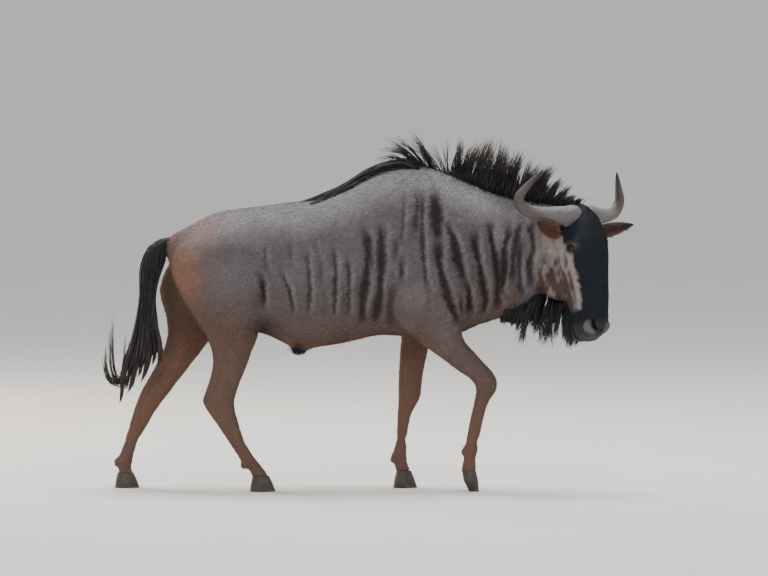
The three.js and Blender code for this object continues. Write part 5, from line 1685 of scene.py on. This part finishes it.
def earHairs(s=earHairSettings):
    # a fringe along both edges of each ear's opening
    n = s["hairs"]
    paths = []
    for sign in (-1, 1):
        root, ahead, opening, across = earFrame(sign)
        t = random.uniform(0.06, 0.92, n)
        u = random.choice([-1.0, 1.0], n) * (1 - np.abs(random.normal(size=n)) * 0.25)
        half = np.interp(t, *np.array(ear["widths"], float).T)
        roots = (root + np.multiply.outer(ear["length"] * t, ahead)
                 + np.multiply.outer(u * half * 0.92, across) - opening * 2)
        first = ahead * 0.9 + opening * 0.35 + np.multiply.outer(u * 0.35, across)
        last = ahead + np.multiply.outer(u * 0.5, across) + random.normal(size=(n, 3)) * 0.12
        lengths = s["length"] * (0.5 + 0.8 * random.random(n))
        paths.append(bentPaths(roots, first, last, lengths, s["places"], 0.08))
    return np.concatenate(paths), s["width"] * (0.6 + 0.7 * random.random(2 * n))


def eyeMaterialOf():
    material, graph, shader, where = newMaterial("darkEye", 0.16, 0.35)
    veins = graph.noise(where, 420.0, 3.0)
    colour = graph.add("ShaderNodeValToRGB", {"stops": [  # pupil, edge of the iris, iris and white
        (0.0, screenColour(5, 4, 5)), (0.34, screenColour(8, 6, 6)), (0.44, screenColour(40, 23, 14)),
        (0.7, screenColour(26, 16, 11)), (1.0, screenColour(16, 11, 10))]}, {"Fac": graph.read("rim")})
    graph.feed(shader.inputs["Base Color"], graph.shade(colour, 0.75 + 0.5 * veins))
    shader.inputs["Coat Weight"].default_value = 0.25
    shader.inputs["Coat Roughness"].default_value = 0.12
    return material


eyeMaterial = eyeMaterialOf()


def eyePiece(name, sign):
    centre, along, across, outward = facing(eye, sign)
    radius = eye["radius"] - 0.6
    points, faces = ballShape(centre, (along, across, outward), (radius, radius, radius), 48, 32)
    thing = meshOf(name, place(points), faces, eyeMaterial, True)
    faceOutwards(thing.data)
    d = points - centre
    wide, high = eye["iris"]
    away = np.sqrt((d @ along / wide) ** 2 + (d @ across / high) ** 2)
    giveNumbers(thing.data, "rim", np.clip(np.where(d @ outward > 0, away, 1) * 0.62, 0, 1))
    return thing


def lidMaterialOf():
    material, graph, shader, where = newMaterial("lidSkin", 0.5, 0.4)
    grain = graph.noise(where, 300.0, 4.0)
    graph.feed(shader.inputs["Base Color"],
               graph.mix(grain, screenColour(14, 12, 12), screenColour(40, 33, 31)))
    graph.roughen(shader, grain, 0.4, 0.0006)
    return material


lidMaterial = lidMaterialOf()
lidSettings = {"opening": (17.5, 10.2), "corners": 0.16, "around": 56, "section": 10,
               "out": 1.6, "wide": 2.6, "thick": 2.2}


def lidPiece(name, sign, s=lidSettings):
    # a dark rim of bare skin round the opening of the eye
    centre, along, across, outward = facing(eye, sign)
    wide, high = s["opening"]
    rings = []
    for angle in np.linspace(0, fullTurn, s["around"], endpoint=False):
        u = wide * math.cos(angle)
        v = high * math.sin(angle) * (1 - s["corners"] * abs(math.cos(angle)))
        w = math.sqrt(max(eye["radius"] ** 2 - u * u - v * v, 9)) + 0.4
        spot = centre + along * u + across * v + outward * w
        away = unit(along * u / wide + across * v / high)
        rings.append([spot + away * (s["out"] + s["wide"] * math.cos(roll))
                      + outward * (s["thick"] * math.sin(roll) - 0.2)
                      for roll in np.linspace(0, fullTurn, s["section"], endpoint=False)])
    rings.append(rings[0])  # the rim closes on itself
    points, faces = skinOver(np.array(rings), closed=False)
    count = s["around"] * s["section"]
    faces = [tuple(i % count for i in face) for face in faces]
    thing = meshOf(name, place(points[:count]), faces, lidMaterial, True)
    faceOutwards(thing.data)
    return thing


def hoofMaterialOf():
    material, graph, shader, where = newMaterial("hoofHorn", 0.5, 0.4)
    rings = graph.add("ShaderNodeTexWave", {"wave_type": "BANDS", "bands_direction": "Z"},
                      {"Vector": where, "Scale": 55.0, "Distortion": 2.5, "Detail": 2.0})
    grain = graph.noise(graph.stretched(where, (1.0, 1.0, 0.25)), 190.0, 4.0)
    dirt = graph.noise(where, 28.0, 3.0)
    colour = graph.mix(grain, screenColour(30, 26, 25), screenColour(66, 58, 52))
    colour = graph.mix((dirt * 1.5 - 0.6).clamped(), colour, screenColour(96, 82, 68))
    graph.feed(shader.inputs["Base Color"], colour)
    graph.roughen(shader, rings + grain, 0.35, 0.0012)
    return material


hoofMaterial = hoofMaterialOf()
hoofSettings = {"rings": 16, "around": 64, "cleft": 0.34, "cleftAtTop": 0.12, "bulbs": 0.16}


def hoofPiece(name, key, s=hoofSettings):
    y, rows = hooves[key]
    rows = np.array(rows, float)[::-1]
    heights = np.linspace(rows[-1, 0], 0, s["rings"])
    angle = np.linspace(0, fullTurn, s["around"], endpoint=False)
    c, sine = np.cos(angle), np.sin(angle)
    cleft = ridge(angle, 0.16) + ridge(angle - fullTurn, 0.16)  # the slit between the toes, in front
    bulbs = ridge(angle - math.pi, 0.22)  # the dent between the heels
    rings = []
    for i, z in enumerate(heights):
        heel, toe, half = (np.interp(z, rows[:, 0], rows[:, k]) for k in (1, 2, 3))
        along = (toe - heel) / 2
        x = (heel + toe) / 2 + along * np.sign(c) * np.abs(c) ** 0.9
        x = x - cleft * along * (s["cleft"] if i > 1 else s["cleftAtTop"])
        x = x + bulbs * along * s["bulbs"]
        across = half * np.sign(sine) * np.abs(sine) ** 0.85 * (1 - 0.22 * smooth(-0.2, 1.0, c))
        rings.append(np.stack([x, y + across, 0 * c + z], 1))
    points, faces = skinOver(np.array(rings))
    thing = meshOf(name, place(points), faces, hoofMaterial)
    faceOutwards(thing.data)
    return thing


finished = []


def keep(piece, slot, *nodes):
    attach(piece, "root")
    if nodes:
        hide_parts(*nodes)
    finished.append(piece)


for side, sign in (("right", 1), ("left", -1)):  # counted to the animal's right
    keep(hornPiece("hornGrown_" + side, sign), "horn", "horn_" + side)
    keep(earPiece("earShell_" + side, sign), "ear", "ear_" + side)
    keep(eyePiece("eyeball_" + side, sign), "eye", "eye_" + side)
    keep(lidPiece("eyelids_" + side, sign), "face")
for number, key in enumerate(hooves, 1):  # foreRight stands for the node hoof_fore_right
    node = "hoof_%s_%s" % (key[:4], key[4:].lower())
    keep(hoofPiece("hoofShell_%d" % number, key), "hoof", node)
earHairMaterial = hairMaterial("earHair", screenColour(70, 58, 52), screenColour(112, 92, 80))
hair["ear_hair"] = strandMesh("ear_hair", *earHairs(), earHairMaterial)
print("horns, ears, eyes and hooves done")

keep(hide, "coat", "torso", "neck", "head", "foreleg_right", "foreleg_left", "hindleg_right", "hindleg_left")
hide.data.polygons.foreach_set("use_smooth", [True] * len(hide.data.polygons))
for coat in coats:
    keep(coat, "coat")
for name, piece in hair.items():
    keep(piece, "long_hair", *(["tail"] if name == "tail_hair" else []))

# Floor, light and camera
stageSettings = {
    "floor": 3200.0,  # metres across
    "lookAt": (0.069, 0.033, 0.848), "elevation": 2.8, "distance": 26.0,
    "wide": 3.226, "sensor": 36.0, "farthest": 6000.0,
    "lights": [  # place, strength in watts, size, colour
        ((-6.0, 5.0, 3.2), 520, 2.5, (1.0, 0.83, 0.68)),
        ((1.5, -9.0, 8.0), 420, 6.0, (0.95, 0.97, 1.0)),
        ((0.5, 1.5, 8.0), 820, 4.0, (1.0, 0.97, 0.94))],
    "lightsLookAt": (0, 0, 0.8), "sky": (0.92, 0.94, 0.98, 1.0), "skyStrength": 0.95,
}


def setFloor(s=stageSettings):
    half = s["floor"] / 2
    material, graph, shader, where = newMaterial("paleFloor", 0.9, 0.1)
    graph.feed(shader.inputs["Base Color"], graph.mix(
        graph.noise(where, 3.0, 4.0), screenColour(205, 202, 197), screenColour(214, 211, 206)))
    corners = [(-half, -half, 0), (half, -half, 0), (half, half, 0), (-half, half, 0)]
    floor = meshOf("floor", corners, [(0, 1, 2, 3)], material)


def setLights(s=stageSettings):
    for i, (spot, watts, size, colour) in enumerate(s["lights"]):
        light = bpy.data.lights.new("soft%d" % i, "AREA")
        light.energy, light.size, light.color = watts, size, colour
        thing = bpy.data.objects.new("soft%d" % i, light)
        bpy.context.collection.objects.link(thing)
        thing.location = spot
        aim = Vector(s["lightsLookAt"]) - Vector(spot)
        thing.rotation_euler = aim.to_track_quat("-Z", "Y").to_euler()
    world = bpy.data.worlds.new("pale")
    world.use_nodes = True
    sky = world.node_tree.nodes["Background"]
    sky.inputs["Color"].default_value = s["sky"]
    sky.inputs["Strength"].default_value = s["skyStrength"]
    bpy.context.scene.world = world


def setCamera(s=stageSettings):
    camera = bpy.data.cameras.new("camera")
    camera.sensor_width = s["sensor"]
    camera.lens = s["sensor"] * s["distance"] / s["wide"]
    camera.clip_end = s["farthest"]
    thing = bpy.data.objects.new("camera", camera)
    bpy.context.collection.objects.link(thing)
    tilt = math.radians(s["elevation"])
    away = Vector((0, -math.cos(tilt), math.sin(tilt)))
    thing.location = Vector(s["lookAt"]) + away * s["distance"]
    thing.rotation_euler = away.to_track_quat("Z", "Y").to_euler()
    bpy.context.scene.camera = thing


setFloor()
setLights()
setCamera()
print("triangles", sum(sum(len(p.vertices) - 2 for p in piece.data.polygons) for piece in finished))
